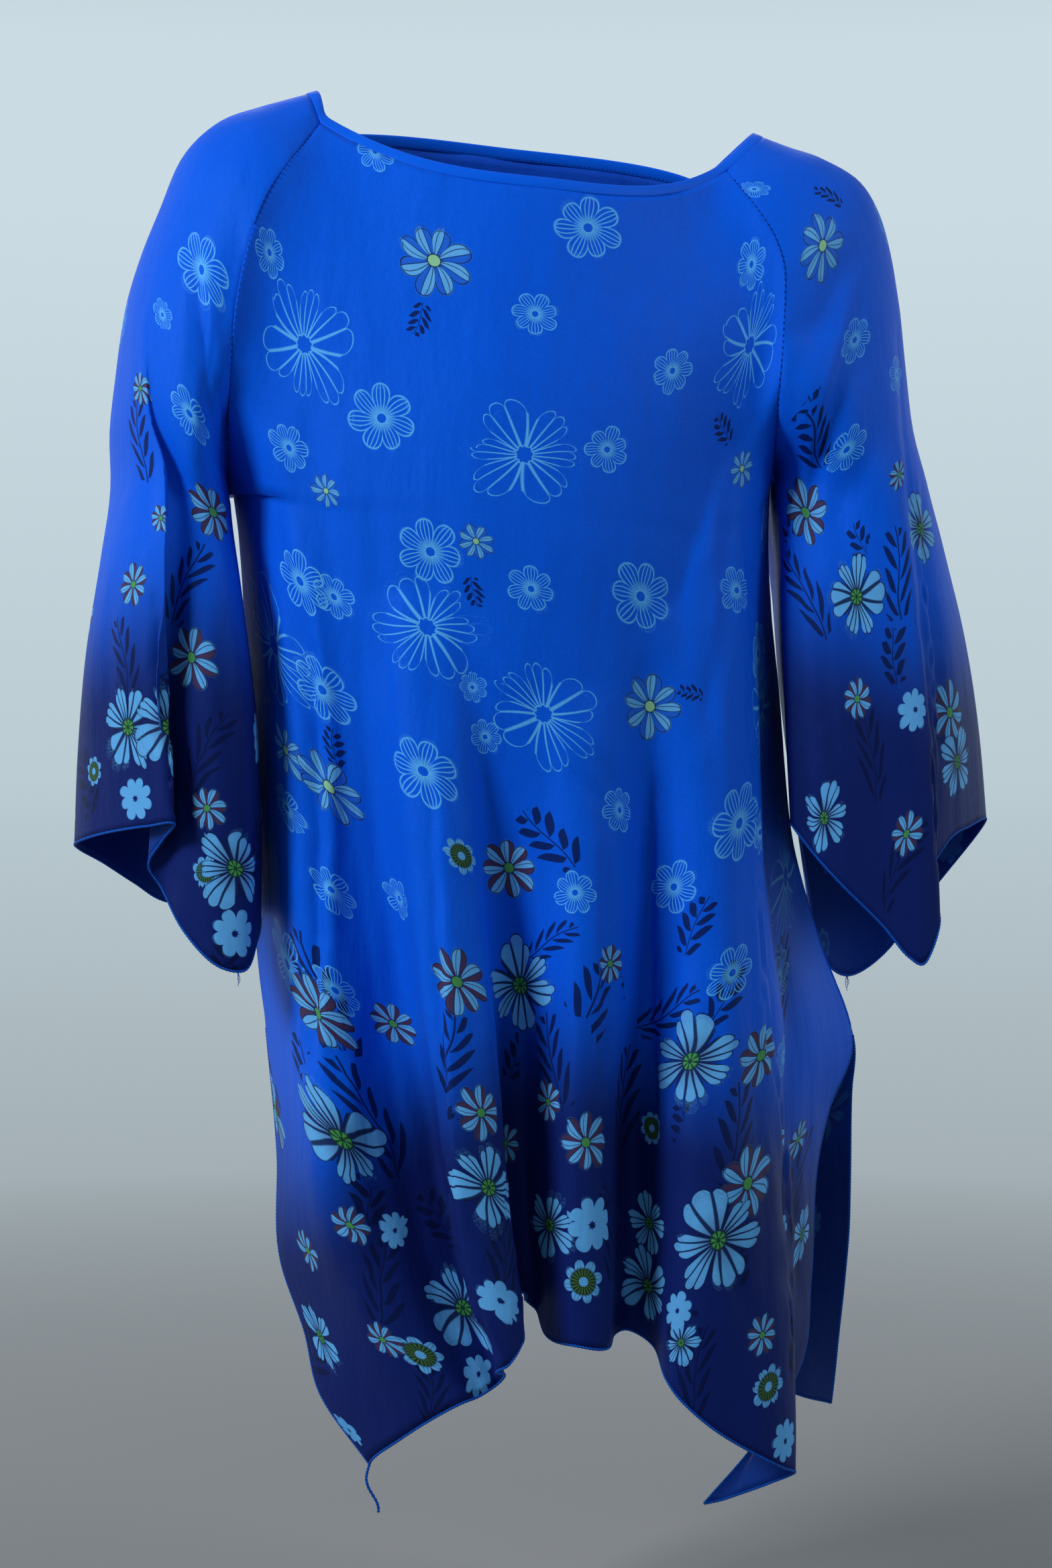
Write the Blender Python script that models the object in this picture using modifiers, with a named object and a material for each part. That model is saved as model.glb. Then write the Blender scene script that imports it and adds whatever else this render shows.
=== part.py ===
"""A loose jersey tunic with raglan sleeves, side vents and pointed hems, hanging in its worn form.

Front, back, two sleeves and the neck binding are separate cloth walls, 0.3 mm apart at the seams.
Metres, +Z up, -Y front, +X the wearer's left. The origin is where the shoulders hold the neckline.
"""
import math

import bpy
import numpy as np

# Cloth
WALL = 0.0015
SEAM_GAP = 0.0003
SEAM_EASE = 1.4
SHARPEST_SEAM = 0.4
BINDING_WIDTH = 0.0076
BINDING_WALL = 0.0022

# The front view that across and height sizes below are measured in: its turn about the origin,
# its distance and the place that it faces. Sizes hold at the plane through the origin.
VIEW_TURN = math.radians(12)
VIEW_DISTANCE = 1.75
VIEW_ACROSS = -0.0054
VIEW_HEIGHT = -0.4518

# Neckline
NECK_FRONT = (0.030, -0.053)
NECK_BACK = (0.004, -0.034)
NECK_FLATNESS = 2.8

# How far down each piece its marks lie, as shares of its length
UNDERARM_ALONG = 0.68
UNDERARM_DOWN = 0.29
VENT_TOP = 0.55
KNEE_DOWN = 0.80
KNEE_STEP = (KNEE_DOWN - UNDERARM_DOWN) / (1 - UNDERARM_DOWN)

# Grid
ARM_ROWS = 10
ARM_CROWDING = 1.35
SIDE_ROWS = 7
VENT_ROWS = 5
CUFF_ROWS = 7

# Sleeves from the neck down: the outer line, the raglan seam and then the inner line, the depth of the
# middle, half the depth across, and half the turn of cloth between the two seams
SLEEVE_COLUMNS = ("along", "out_across", "out_height", "in_across", "in_height", "depth", "half", "turn")
SLEEVE_RIGHT = (
    (0.00, -0.153, 0.010, -0.1436, -0.0077, 0.000, 0.033, 70),
    (0.08, -0.184, 0.001, -0.156, -0.024, 0.000, 0.052, 72),
    (0.16, -0.213, -0.010, -0.1665, -0.037, 0.000, 0.067, 74),
    (0.24, -0.236, -0.032, -0.179, -0.056, 0.000, 0.077, 76),
    (0.32, -0.251, -0.067, -0.188, -0.078, 0.000, 0.084, 78),
    (0.40, -0.264, -0.100, -0.196, -0.108, 0.000, 0.088, 83),
    (0.48, -0.274, -0.135, -0.201, -0.140, 0.000, 0.090, 96),
    (0.56, -0.280, -0.180, -0.204, -0.185, 0.000, 0.090, 120),
    (0.62, -0.2835, -0.215, -0.205, -0.222, 0.000, 0.088, 148),
    (0.68, -0.283, -0.250, -0.205, -0.255, -0.003, 0.086, 180),
    (0.76, -0.290, -0.300, -0.198, -0.305, -0.026, 0.083, 180),
    (0.84, -0.300, -0.365, -0.189, -0.370, -0.033, 0.084, 180),
    (0.92, -0.305, -0.430, -0.1855, -0.435, -0.024, 0.088, 180),
    (1.00, -0.307, -0.493, -0.187, -0.500, -0.020, 0.090, 180),
)
SLEEVE_LEFT = (
    (0.00, 0.152, -0.019, 0.129, -0.0396, 0.000, 0.036, 70),
    (0.08, 0.168, -0.026, 0.139, -0.052, 0.000, 0.054, 72),
    (0.16, 0.190, -0.034, 0.151, -0.067, 0.000, 0.068, 74),
    (0.24, 0.214, -0.049, 0.162, -0.085, 0.000, 0.078, 76),
    (0.32, 0.227, -0.071, 0.168, -0.104, 0.000, 0.085, 78),
    (0.40, 0.2345, -0.0995, 0.1685, -0.125, 0.000, 0.088, 81),
    (0.48, 0.240, -0.137, 0.167, -0.152, 0.000, 0.090, 89),
    (0.56, 0.246, -0.180, 0.164, -0.187, 0.000, 0.090, 106),
    (0.62, 0.2515, -0.218, 0.162, -0.220, 0.000, 0.088, 135),
    (0.68, 0.2606, -0.252, 0.161, -0.252, -0.003, 0.086, 180),
    (0.76, 0.274, -0.295, 0.166, -0.300, -0.010, 0.086, 180),
    (0.84, 0.288, -0.350, 0.170, -0.360, -0.016, 0.088, 180),
    (0.92, 0.298, -0.410, 0.178, -0.425, -0.020, 0.090, 180),
    (1.00, 0.303, -0.475, 0.187, -0.490, -0.022, 0.092, 180),
)

# Sleeve hems by the turn round the arm, 0 outside and 90 in front: where each fold's crest or valley lies
CUFF_COLUMNS = ("turn", "across", "height", "depth")
CUFF_RIGHT = (
    (-168, -0.197, -0.535, 0.008),
    (-140, -0.215, -0.535, 0.050),
    (-110, -0.248, -0.530, 0.072),
    (-80, -0.268, -0.518, 0.070),
    (-50, -0.288, -0.505, 0.050),
    (-20, -0.305, -0.495, 0.015),
    (10, -0.305, -0.490, -0.025),
    (35, -0.285, -0.484, -0.062),
    (55, -0.259, -0.480, -0.090),
    (68, -0.2415, -0.479, -0.102),
    (76, -0.2495, -0.490, -0.087),
    (84, -0.2585, -0.505, -0.076),
    (94, -0.2495, -0.522, -0.073),
    (106, -0.236, -0.549, -0.086),
    (120, -0.212, -0.574, -0.096),
    (130, -0.194, -0.577, -0.094),
    (142, -0.186, -0.558, -0.080),
    (158, -0.184, -0.541, -0.050),
    (175, -0.191, -0.537, -0.015),
)
CUFF_LEFT = (
    (-165, 0.185, -0.530, 0.035),
    (-145, 0.1875, -0.558, 0.055),
    (-125, 0.199, -0.575, 0.065),
    (-105, 0.212, -0.580, 0.072),
    (-80, 0.235, -0.565, 0.068),
    (-50, 0.265, -0.525, 0.050),
    (-20, 0.297, -0.485, 0.015),
    (0, 0.303, -0.475, -0.010),
    (25, 0.292, -0.480, -0.050),
    (42, 0.279, -0.488, -0.075),
    (54, 0.2685, -0.503, -0.088),
    (62, 0.262, -0.512, -0.092),
    (70, 0.268, -0.527, -0.104),
    (77, 0.2715, -0.5445, -0.110),
    (86, 0.263, -0.571, -0.114),
    (96, 0.2516, -0.568, -0.112),
    (108, 0.235, -0.548, -0.108),
    (125, 0.208, -0.521, -0.106),
    (145, 0.188, -0.499, -0.100),
    (165, 0.172, -0.478, -0.085),
    (180, 0.178, -0.485, -0.045),
)
CUFF_START = 0.48

# How fast folds grow along X, Y and Z: they deepen before they lean over
FOLD_GROWTH = (1.5, 0.8, 1.2)

# How closely an edge's own bends keep to it, as powers of a panel's share of width at the underarm
# and at the knee
ACROSS_REACH = (3.5, 8)
DEPTH_REACH = (9, 4)

# Side seams and vent edges from the underarm down to the corners
EDGE_COLUMNS = ("step", "across", "height", "depth")
FRONT_EDGE_RIGHT = (
    (0.00, -0.202, -0.255, -0.003),
    (0.05, -0.199, -0.278, 0.000),
    (0.10, -0.197, -0.300, 0.000),
    (0.25, -0.1925, -0.400, 0.000),
    (0.40, -0.1895, -0.500, 0.000),
    (0.48, -0.187, -0.555, 0.000),
    (0.55, -0.180, -0.615, 0.000),
    (0.70, -0.1725, -0.700, -0.025),
    (0.80, -0.170, -0.770, -0.045),
    (0.87, -0.154, -0.819, -0.065),
    (0.93, -0.1445, -0.860, -0.082),
    (1.00, -0.111, -0.9085, -0.105),
)
FRONT_EDGE_LEFT = (
    (0.00, 0.158, -0.252, -0.003),
    (0.05, 0.157, -0.276, 0.000),
    (0.10, 0.157, -0.300, 0.000),
    (0.25, 0.1655, -0.400, 0.000),
    (0.40, 0.176, -0.500, 0.000),
    (0.48, 0.193, -0.560, 0.000),
    (0.55, 0.214, -0.620, 0.000),
    (0.63, 0.1985, -0.670, -0.020),
    (0.70, 0.190, -0.710, -0.035),
    (0.80, 0.186, -0.785, -0.055),
    (0.88, 0.178, -0.845, -0.078),
    (0.94, 0.150, -0.893, -0.100),
    (1.00, 0.114, -0.9347, -0.115),
)
BACK_EDGE_RIGHT = FRONT_EDGE_RIGHT[:7] + (
    (0.65, -0.172, -0.670, 0.015),
    (0.78, -0.162, -0.750, 0.033),
    (0.90, -0.146, -0.830, 0.052),
    (1.00, -0.118, -0.878, 0.070),
)
BACK_EDGE_LEFT = FRONT_EDGE_LEFT[:7] + (
    (0.62, 0.213, -0.660, 0.012),
    (0.75, 0.2115, -0.750, 0.025),
    (0.88, 0.206, -0.810, 0.036),
    (1.00, 0.1994, -0.867, 0.048),
)

# Folds of a panel, one row for each crest, edge or valley: its share of the width, how far down it starts,
# its place at the knee and its place on the hem
FOLD_COLUMNS = ("share", "start", "knee_across", "knee_depth", "hem_across", "hem_height", "hem_depth")
FRONT_FOLDS = (
    (-0.90, 0.24, -0.160, -0.075, -0.092, -0.893, -0.125),
    (-0.82, 0.24, -0.148, -0.112, -0.072, -0.880, -0.140),
    (-0.70, 0.28, -0.120, -0.120, -0.050, -0.868, -0.150),
    (-0.58, 0.34, -0.085, -0.102, -0.034, -0.861, -0.142),
    (-0.50, 0.36, -0.064, -0.104, -0.022, -0.852, -0.138),
    (-0.46, 0.36, -0.061, -0.124, -0.020, -0.848, -0.152),
    (-0.42, 0.36, -0.065, -0.146, -0.026, -0.847, -0.166),
    (-0.34, 0.36, -0.048, -0.164, -0.0165, -0.841, -0.175),
    (-0.26, 0.38, -0.025, -0.152, -0.008, -0.8235, -0.163),
    (-0.18, 0.42, -0.023, -0.117, -0.010, -0.7925, -0.125),
    (-0.12, 0.44, -0.0095, -0.111, 0.0000, -0.803, -0.118),
    (-0.04, 0.44, 0.0045, -0.125, 0.0085, -0.822, -0.136),
    (0.06, 0.44, 0.025, -0.152, 0.029, -0.829, -0.157),
    (0.16, 0.44, 0.050, -0.140, 0.050, -0.830, -0.150),
    (0.22, 0.44, 0.056, -0.114, 0.0535, -0.8215, -0.126),
    (0.30, 0.40, 0.068, -0.104, 0.064, -0.818, -0.114),
    (0.38, 0.36, 0.083, -0.120, 0.080, -0.829, -0.125),
    (0.46, 0.35, 0.100, -0.145, 0.0875, -0.850, -0.148),
    (0.56, 0.30, 0.122, -0.155, 0.103, -0.870, -0.160),
    (0.66, 0.26, 0.143, -0.150, 0.130, -0.891, -0.160),
    (0.76, 0.24, 0.162, -0.132, 0.168, -0.911, -0.150),
    (0.80, 0.24, 0.166, -0.116, 0.175, -0.9135, -0.138),
    (0.85, 0.24, 0.160, -0.100, 0.160, -0.920, -0.128),
    (0.92, 0.24, 0.172, -0.080, 0.135, -0.929, -0.120),
)
BACK_FOLDS = (
    (-0.88, 0.30, -0.150, 0.062, -0.098, -0.866, 0.095),
    (-0.74, 0.34, -0.122, 0.105, -0.080, -0.852, 0.125),
    (-0.62, 0.38, -0.098, 0.078, -0.068, -0.838, 0.094),
    (-0.48, 0.40, -0.078, 0.088, -0.052, -0.822, 0.100),
    (-0.34, 0.34, -0.056, 0.128, -0.040, -0.805, 0.142),
    (-0.20, 0.36, -0.034, 0.118, -0.026, -0.790, 0.135),
    (-0.08, 0.42, -0.014, 0.088, -0.008, -0.778, 0.100),
    (0.06, 0.42, 0.006, 0.093, 0.008, -0.775, 0.104),
    (0.20, 0.36, 0.026, 0.132, 0.024, -0.778, 0.144),
    (0.34, 0.40, 0.050, 0.122, 0.048, -0.790, 0.135),
    (0.46, 0.44, 0.070, 0.088, 0.072, -0.800, 0.100),
    (0.58, 0.42, 0.092, 0.088, 0.098, -0.812, 0.099),
    (0.72, 0.36, 0.122, 0.112, 0.130, -0.836, 0.125),
    (0.86, 0.34, 0.166, 0.088, 0.172, -0.8595, 0.090),
)

# Depth of each panel's middle and sides from the neck down, and how far its section turns at the sides
SECTION_COLUMNS = ("down", "depth", "side", "turn")
FRONT_SECTION = (
    (0.00, -0.083, -0.031, 30),
    (0.10, -0.106, -0.058, 36),
    (0.20, -0.124, -0.060, 50),
    (0.30, -0.131, -0.050, 62),
    (0.42, -0.131, -0.026, 72),
    (0.60, -0.130, 0.000, 80),
    (1.00, -0.135, 0.000, 80),
)
BACK_SECTION = (
    (0.00, 0.066, 0.031, 30),
    (0.10, 0.090, 0.056, 36),
    (0.20, 0.101, 0.058, 50),
    (0.30, 0.100, 0.048, 62),
    (0.42, 0.095, 0.024, 72),
    (0.60, 0.097, 0.000, 80),
    (1.00, 0.110, 0.000, 80),
)


def seen_x(across, depth):
    """The x of a point measured across the front view, at its depth y."""
    side = across - VIEW_ACROSS
    cos, sin = math.cos(VIEW_TURN), math.sin(VIEW_TURN)
    ahead = VIEW_ACROSS + sin * depth + side * (1 + cos * depth / VIEW_DISTANCE)
    return ahead / (cos - side * sin / VIEW_DISTANCE)


def seen_z(height, x, depth):
    """The z of a point measured up the front view, at its x and its depth y."""
    away = math.sin(VIEW_TURN) * x + math.cos(VIEW_TURN) * depth
    return VIEW_HEIGHT + (height - VIEW_HEIGHT) * (1 + away / VIEW_DISTANCE)


def seen(across, height, depth):
    """The point at a depth y that the front view shows at (across, height)."""
    x = seen_x(across, depth)
    return np.stack([x, depth + 0 * x, seen_z(height, x, depth)], axis=-1)


def curve(keys, values, at):
    """A smooth curve through values at rising keys."""
    keys = np.asarray(keys, float)
    values = np.asarray(values, float)
    at = np.clip(np.asarray(at, float), keys[0], keys[-1])
    slopes = np.gradient(values, keys, axis=0)
    i = np.clip(np.searchsorted(keys, at, side="right") - 1, 0, len(keys) - 2)
    step = keys[i + 1] - keys[i]
    t = (at - keys[i]) / step
    if values.ndim > 1:
        t = t[..., None]
        step = step[..., None]
    rise = (1 - t) ** 2 * (1 + 2 * t) * values[i] + t**2 * (3 - 2 * t) * values[i + 1]
    return rise + step * t * (1 - t) * ((1 - t) * slopes[i] - t * slopes[i + 1])


def column(table, names, name):
    """One named column of a table."""
    return np.array([row[names.index(name)] for row in table], float)


def sleeve_line(table, name, along):
    """A sleeve column at places along it."""
    keys = column(table, SLEEVE_COLUMNS, "along")
    return curve(keys, column(table, SLEEVE_COLUMNS, name), along)


def sleeve_ring(table, along, share):
    """Points of the plain sleeve: share runs from -1 at the back seam to 1 at the front one."""
    half = sleeve_line(table, "half", along)
    turn = np.radians(np.minimum(sleeve_line(table, "turn", along), 180))
    turn = np.where(along >= UNDERARM_ALONG - 1e-9, math.pi, turn)
    depth = sleeve_line(table, "depth", along)
    spread = half * np.sin(turn)
    seam = seen(sleeve_line(table, "in_across", along), sleeve_line(table, "in_height", along), depth - spread)
    inner = seam + np.stack([0 * spread, spread, 0 * spread], axis=-1)
    outer = seen(sleeve_line(table, "out_across", along), sleeve_line(table, "out_height", along), depth)
    reach = np.linalg.norm(outer - inner, axis=-1)
    out = (outer - inner) / reach[..., None]
    radius = reach / (1 - np.cos(turn))
    angle = turn * share
    points = outer + (radius * (np.cos(angle) - 1))[..., None] * out
    points[..., 1] -= half * np.sin(angle)
    return points


def cuff_places(table, share):
    """Where the folds bring a sleeve's hem, round the arm."""
    turns = column(table, CUFF_COLUMNS, "turn")
    turns = np.concatenate([turns[-3:] - 360, turns, turns[:3] + 360])
    values = [column(table, CUFF_COLUMNS, name) for name in ("across", "height", "depth")]
    values = np.stack([np.concatenate([v[-3:], v, v[:3]]) for v in values], axis=-1)
    placed = curve(turns, values, 180 * np.asarray(share, float))
    return seen(placed[..., 0], placed[..., 1], placed[..., 2])


def sleeve_points(table, cuff, along, share):
    """Points of a sleeve with its folds, which grow from the shoulder to the hem."""
    along, share = np.broadcast_arrays(np.asarray(along, float), np.asarray(share, float))
    points = sleeve_ring(table, along, share)
    change = cuff_places(cuff, share) - sleeve_ring(table, np.ones(share.shape), share)
    grown = np.clip((along - CUFF_START) / (1 - CUFF_START), 0, 1)
    for axis, power in enumerate(FOLD_GROWTH):
        points[..., axis] += change[..., axis] * grown**power
    return points


def edge_points(table, step):
    """Points of a side seam and vent edge below the underarm."""
    keys = column(table, EDGE_COLUMNS, "step")
    across, height, depth = (curve(keys, column(table, EDGE_COLUMNS, n), step) for n in EDGE_COLUMNS[1:])
    return seen(across, height, depth)


def panel_edge(down, sleeve, cuff, edge, front):
    """One edge of a panel: the raglan seam and, under the arm, the side seam and vent."""
    down = np.asarray(down, float)
    along = np.minimum(down / UNDERARM_DOWN, 1) * UNDERARM_ALONG
    upper = sleeve_points(sleeve, cuff, along, np.where(front, 1.0, -1.0) + 0 * along)
    step = np.clip((down - UNDERARM_DOWN) / (1 - UNDERARM_DOWN), 0, 1)
    lower = edge_points(edge, step)
    return np.where((down < UNDERARM_DOWN)[..., None], upper, lower)


def panel_base(panel, down, share):
    """Points of a panel without its folds."""
    right = panel_edge(down, SLEEVE_RIGHT, CUFF_RIGHT, panel["right"], panel["front"])
    left = panel_edge(down, SLEEVE_LEFT, CUFF_LEFT, panel["left"], panel["front"])
    keys = column(panel["section"], SECTION_COLUMNS, "down")
    depth, side, turn = (curve(keys, column(panel["section"], SECTION_COLUMNS, name), down)
                         for name in ("depth", "side", "turn"))
    turn = np.radians(turn)
    reach = np.sin(turn * share) / np.sin(turn)
    bulge = (np.cos(turn * share) - np.cos(turn)) / (1 - np.cos(turn))
    weight = ((1 + reach) / 2)[..., None]
    low = np.clip((down - UNDERARM_DOWN) / (KNEE_DOWN - UNDERARM_DOWN), 0, 1)
    powers = [top + (knee - top) * low for top, knee in (ACROSS_REACH, DEPTH_REACH)]
    near_side = np.stack([np.abs(share) ** powers[0], np.abs(share) ** powers[1], 0 * share], axis=-1)
    straight_right = straight_edge(right, SLEEVE_RIGHT, panel["right"], down, side, 0 if panel["front"] else 1)
    straight_left = straight_edge(left, SLEEVE_LEFT, panel["left"], down, side, -1 if panel["front"] else 0)
    points = straight_right * (1 - weight) + straight_left * weight
    points[..., 1] += (depth - points[..., 1]) * bulge
    bend = np.where((share < 0)[..., None], right - straight_right, left - straight_left)
    points += bend * near_side
    points[..., 2] = panel_height(panel, right, left, down, share)
    return points


def straight_edge(points, sleeve, edge, down, side, facing):
    """An edge's points without its own bends, which the panel's middle doesn't follow.

    They lie at the depth of the raglan seam towards the side it is facing, or in the middle for 0.
    """
    along = np.minimum(down / UNDERARM_DOWN, 1) * UNDERARM_ALONG
    turn = np.radians(np.minimum(sleeve_line(sleeve, "turn", along), 90))
    depth = facing * sleeve_line(sleeve, "half", along) * np.sin(turn)
    knee = curve(column(edge, EDGE_COLUMNS, "step"), column(edge, EDGE_COLUMNS, "across"), KNEE_STEP)
    share = np.clip((down - UNDERARM_DOWN) / (KNEE_DOWN - UNDERARM_DOWN), 0, 1)
    underarm = edge[0][EDGE_COLUMNS.index("across")]
    across = np.where(down < UNDERARM_DOWN, sleeve_line(sleeve, "in_across", along),
                      underarm + (knee - underarm) * share)
    straight = points.copy()
    straight[..., 0] = seen_x(across, depth + (side - depth) * share)
    straight[..., 1] = side
    return straight


def panel_height(panel, right, left, down, share):
    """Heights of a panel's rows, which sag from the neckline to the hem."""
    ends = [panel_edge(np.array(d), s, c, panel[e], panel["front"])[2]
            for d in (0.0, 1.0)
            for s, c, e in ((SLEEVE_RIGHT, CUFF_RIGHT, "right"), (SLEEVE_LEFT, CUFF_LEFT, "left"))]
    weight = (1 + share) / 2
    across, height = panel["neck"]
    depth = panel["section"][0][SECTION_COLUMNS.index("depth")]
    middle = seen_z(height, seen_x(across, depth), depth)
    top = ends[0] * (1 - weight) + ends[1] * weight
    top = top + (middle - (ends[0] + ends[1]) / 2) * (1 - np.abs(share) ** NECK_FLATNESS)
    hem = fold_heights(panel, share, ends[2], ends[3])
    drop_right = (right[..., 2] - ends[0]) / (ends[2] - ends[0])
    drop_left = (left[..., 2] - ends[1]) / (ends[3] - ends[1])
    drop_side = np.where(share < 0, drop_right, drop_left)
    drop = down + (drop_side - down) * np.abs(share) ** 4
    even = ends[2] * (1 - weight) + ends[3] * weight
    lowest_middle = fold_heights(panel, np.array(0.0), ends[2], ends[3])
    even = even + (lowest_middle - (ends[2] + ends[3]) / 2) * (1 - np.abs(share) ** 1.5)
    return top + (even - top) * drop + (hem - even) * drop**2.5


def fold_heights(panel, share, right_end, left_end):
    """Heights of a panel's hem across its folds."""
    rows = panel["folds"]
    heights = column(rows, FOLD_COLUMNS, "hem_height")
    depths = column(rows, FOLD_COLUMNS, "hem_depth")
    x = seen_x(column(rows, FOLD_COLUMNS, "hem_across"), depths)
    values = np.concatenate([[right_end], seen_z(heights, x, depths), [left_end]])
    return curve(fold_shares(panel), values, share)


def fold_shares(panel):
    """The folds' shares of a panel's width, with its two edges."""
    return np.concatenate([[-1.0], column(panel["folds"], FOLD_COLUMNS, "share"), [1.0]])


def fold_changes(panel, place, down):
    """How far each fold moves its place at the knee or on the hem."""
    rows = panel["folds"]
    shares = column(rows, FOLD_COLUMNS, "share")
    plain = panel_base(panel, np.full(shares.shape, down), shares)
    depth = column(rows, FOLD_COLUMNS, place + "_depth")
    x = seen_x(column(rows, FOLD_COLUMNS, place + "_across"), depth)
    change = np.stack([x, depth], axis=-1) - plain[:, :2]
    return np.concatenate([np.zeros((1, 2)), change, np.zeros((1, 2))])


def panel_points(panel, down, share):
    """Points of a panel with its folds, which grow from where each starts."""
    down, share = np.broadcast_arrays(np.asarray(down, float), np.asarray(share, float))
    points = panel_base(panel, down, share)
    keys = fold_shares(panel)
    knee = curve(keys, fold_changes(panel, "knee", KNEE_DOWN), share)
    hem = curve(keys, fold_changes(panel, "hem", 1.0), share)
    starts = column(panel["folds"], FOLD_COLUMNS, "start")
    start = curve(keys, np.concatenate([starts[:1], starts, starts[-1:]]), share)
    grown = np.clip((down - start) / (KNEE_DOWN - start), 0, 1)
    late = np.clip((down - KNEE_DOWN) / (1 - KNEE_DOWN), 0, 1) ** 1.4
    for axis, power in enumerate(FOLD_GROWTH[:2]):
        points[..., axis] += knee[..., axis] * grown**power + (hem - knee)[..., axis] * late
    return points


FRONT = {"front": True, "neck": NECK_FRONT, "section": FRONT_SECTION, "folds": FRONT_FOLDS,
         "right": FRONT_EDGE_RIGHT, "left": FRONT_EDGE_LEFT}
BACK = {"front": False, "neck": NECK_BACK, "section": BACK_SECTION, "folds": BACK_FOLDS,
        "right": BACK_EDGE_RIGHT, "left": BACK_EDGE_LEFT}


def with_midpoints(keys):
    """Keys with one more between each two."""
    middles = (keys[1:] + keys[:-1]) / 2
    return np.sort(np.concatenate([keys, middles]))


def panel_rows():
    """Shares of a panel's length for its rows of points, the underarm among them."""
    steps = np.concatenate([np.linspace(0, VENT_TOP, SIDE_ROWS + 1)[1:],
                            np.linspace(VENT_TOP, 1, VENT_ROWS + 1)[1:]])
    lower = UNDERARM_DOWN + (1 - UNDERARM_DOWN) * steps
    return np.concatenate([UNDERARM_DOWN * arm_rows(), lower])


def arm_rows():
    """Shares of the way to the underarm, closer together near it."""
    return 1 - np.linspace(1, 0, ARM_ROWS + 1) ** ARM_CROWDING


def sleeve_rows():
    """Shares of a sleeve's length for its rows, which meet the panels' rows down to the underarm."""
    lower = np.linspace(UNDERARM_ALONG, 1, CUFF_ROWS + 1)[1:]
    return np.concatenate([UNDERARM_ALONG * arm_rows(), lower])


def sleeve_columns(cuff):
    """Shares of the half turn for a sleeve's columns, from the back seam to the front one."""
    turns = column(cuff, CUFF_COLUMNS, "turn") / 180
    inside = turns[np.abs(turns) < 0.96]
    return with_midpoints(np.concatenate([[-1.0], inside, [1.0]]))


def panel_grid(panel):
    """A panel's points in rows and columns."""
    shares = with_midpoints(fold_shares(panel))
    return panel_points(panel, panel_rows()[:, None], shares[None, :])


def sleeve_grid(table, cuff):
    """A sleeve's points in rows and columns."""
    return sleeve_points(table, cuff, sleeve_rows()[:, None], sleeve_columns(cuff)[None, :])


def trimmed(point, mine, other):
    """A seam point moved back into its own piece, so that the two walls stay a seam gap apart."""
    towards = (mine - point) / np.linalg.norm(mine - point, axis=-1, keepdims=True)
    away = (other - point) / np.linalg.norm(other - point, axis=-1, keepdims=True)
    between = np.arccos(np.clip((towards * away).sum(-1), -1, 1))
    back = SEAM_GAP / 2 + SEAM_EASE * WALL / 2 / np.tan(np.clip(between, SHARPEST_SEAM, math.pi) / 2)
    return point + towards * back[..., None]


def trim_edges(front, back, right, left):
    """Moves the pieces' facing edges apart along every seam."""
    arm = ARM_ROWS + 1
    vent = arm + SIDE_ROWS
    old = {name: grid.copy() for name, grid in
           (("front", front), ("back", back), ("right", right), ("left", left))}
    for panel, end in ((front, -1), (back, 0)):
        was = old["front"] if panel is front else old["back"]
        for side, sleeve, was_sleeve in ((0, right, old["right"]), (-1, left, old["left"])):
            inner = 1 if side == 0 else -2
            own = 1 if end == 0 else -2
            panel[:arm, side] = trimmed(was[:arm, side], was[:arm, inner], was_sleeve[:arm, own])
            sleeve[:arm - 1, end] = trimmed(was_sleeve[:arm - 1, end], was_sleeve[:arm - 1, own],
                                            was[:arm - 1, inner])
    for side, inner in ((0, 1), (-1, -2)):
        rows = slice(arm, vent)
        front[rows, side] = trimmed(old["front"][rows, side], old["front"][rows, inner], old["back"][rows, inner])
        back[rows, side] = trimmed(old["back"][rows, side], old["back"][rows, inner], old["front"][rows, inner])


def grid_mesh(name, points, closed_from=None):
    """A mesh of four-sided faces; from row closed_from on, the last column is the first one."""
    rows, columns = points.shape[:2]
    mesh = bpy.data.meshes.new(name)
    numbers = np.arange(rows * columns).reshape(rows, columns)
    if closed_from is not None:
        numbers[closed_from:, -1] = numbers[closed_from:, 0]
    faces = []
    for r in range(rows - 1):
        for c in range(columns - 1):
            faces.append((numbers[r, c], numbers[r + 1, c], numbers[r + 1, c + 1], numbers[r, c + 1]))
    used = sorted({n for face in faces for n in face})
    place = {n: i for i, n in enumerate(used)}
    flat = points.reshape(-1, 3)
    mesh.from_pydata([tuple(flat[n]) for n in used], [], [tuple(place[n] for n in f) for f in faces])
    return mesh


def fabric(name, colour, roughness):
    """A plain cloth material."""
    material = bpy.data.materials.new(name)
    material.use_nodes = True
    shader = material.node_tree.nodes["Principled BSDF"]
    shader.inputs["Base Color"].default_value = (*colour, 1)
    shader.inputs["Roughness"].default_value = roughness
    shader.inputs["Metallic"].default_value = 0.0
    material.diffuse_color = (*colour, 1)
    return material


def add_wall(name, mesh, thickness, colour, collection):
    """An object whose open surface gets a cloth wall, half of it to each side."""
    piece = bpy.data.objects.new(name, mesh)
    collection.objects.link(piece)
    mesh.materials.append(fabric(name + "_cloth", colour, 0.6))
    mesh.shade_smooth()
    wall = piece.modifiers.new("wall", "SOLIDIFY")
    wall.thickness = thickness
    wall.offset = 0
    wall.use_rim = True
    return piece


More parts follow.
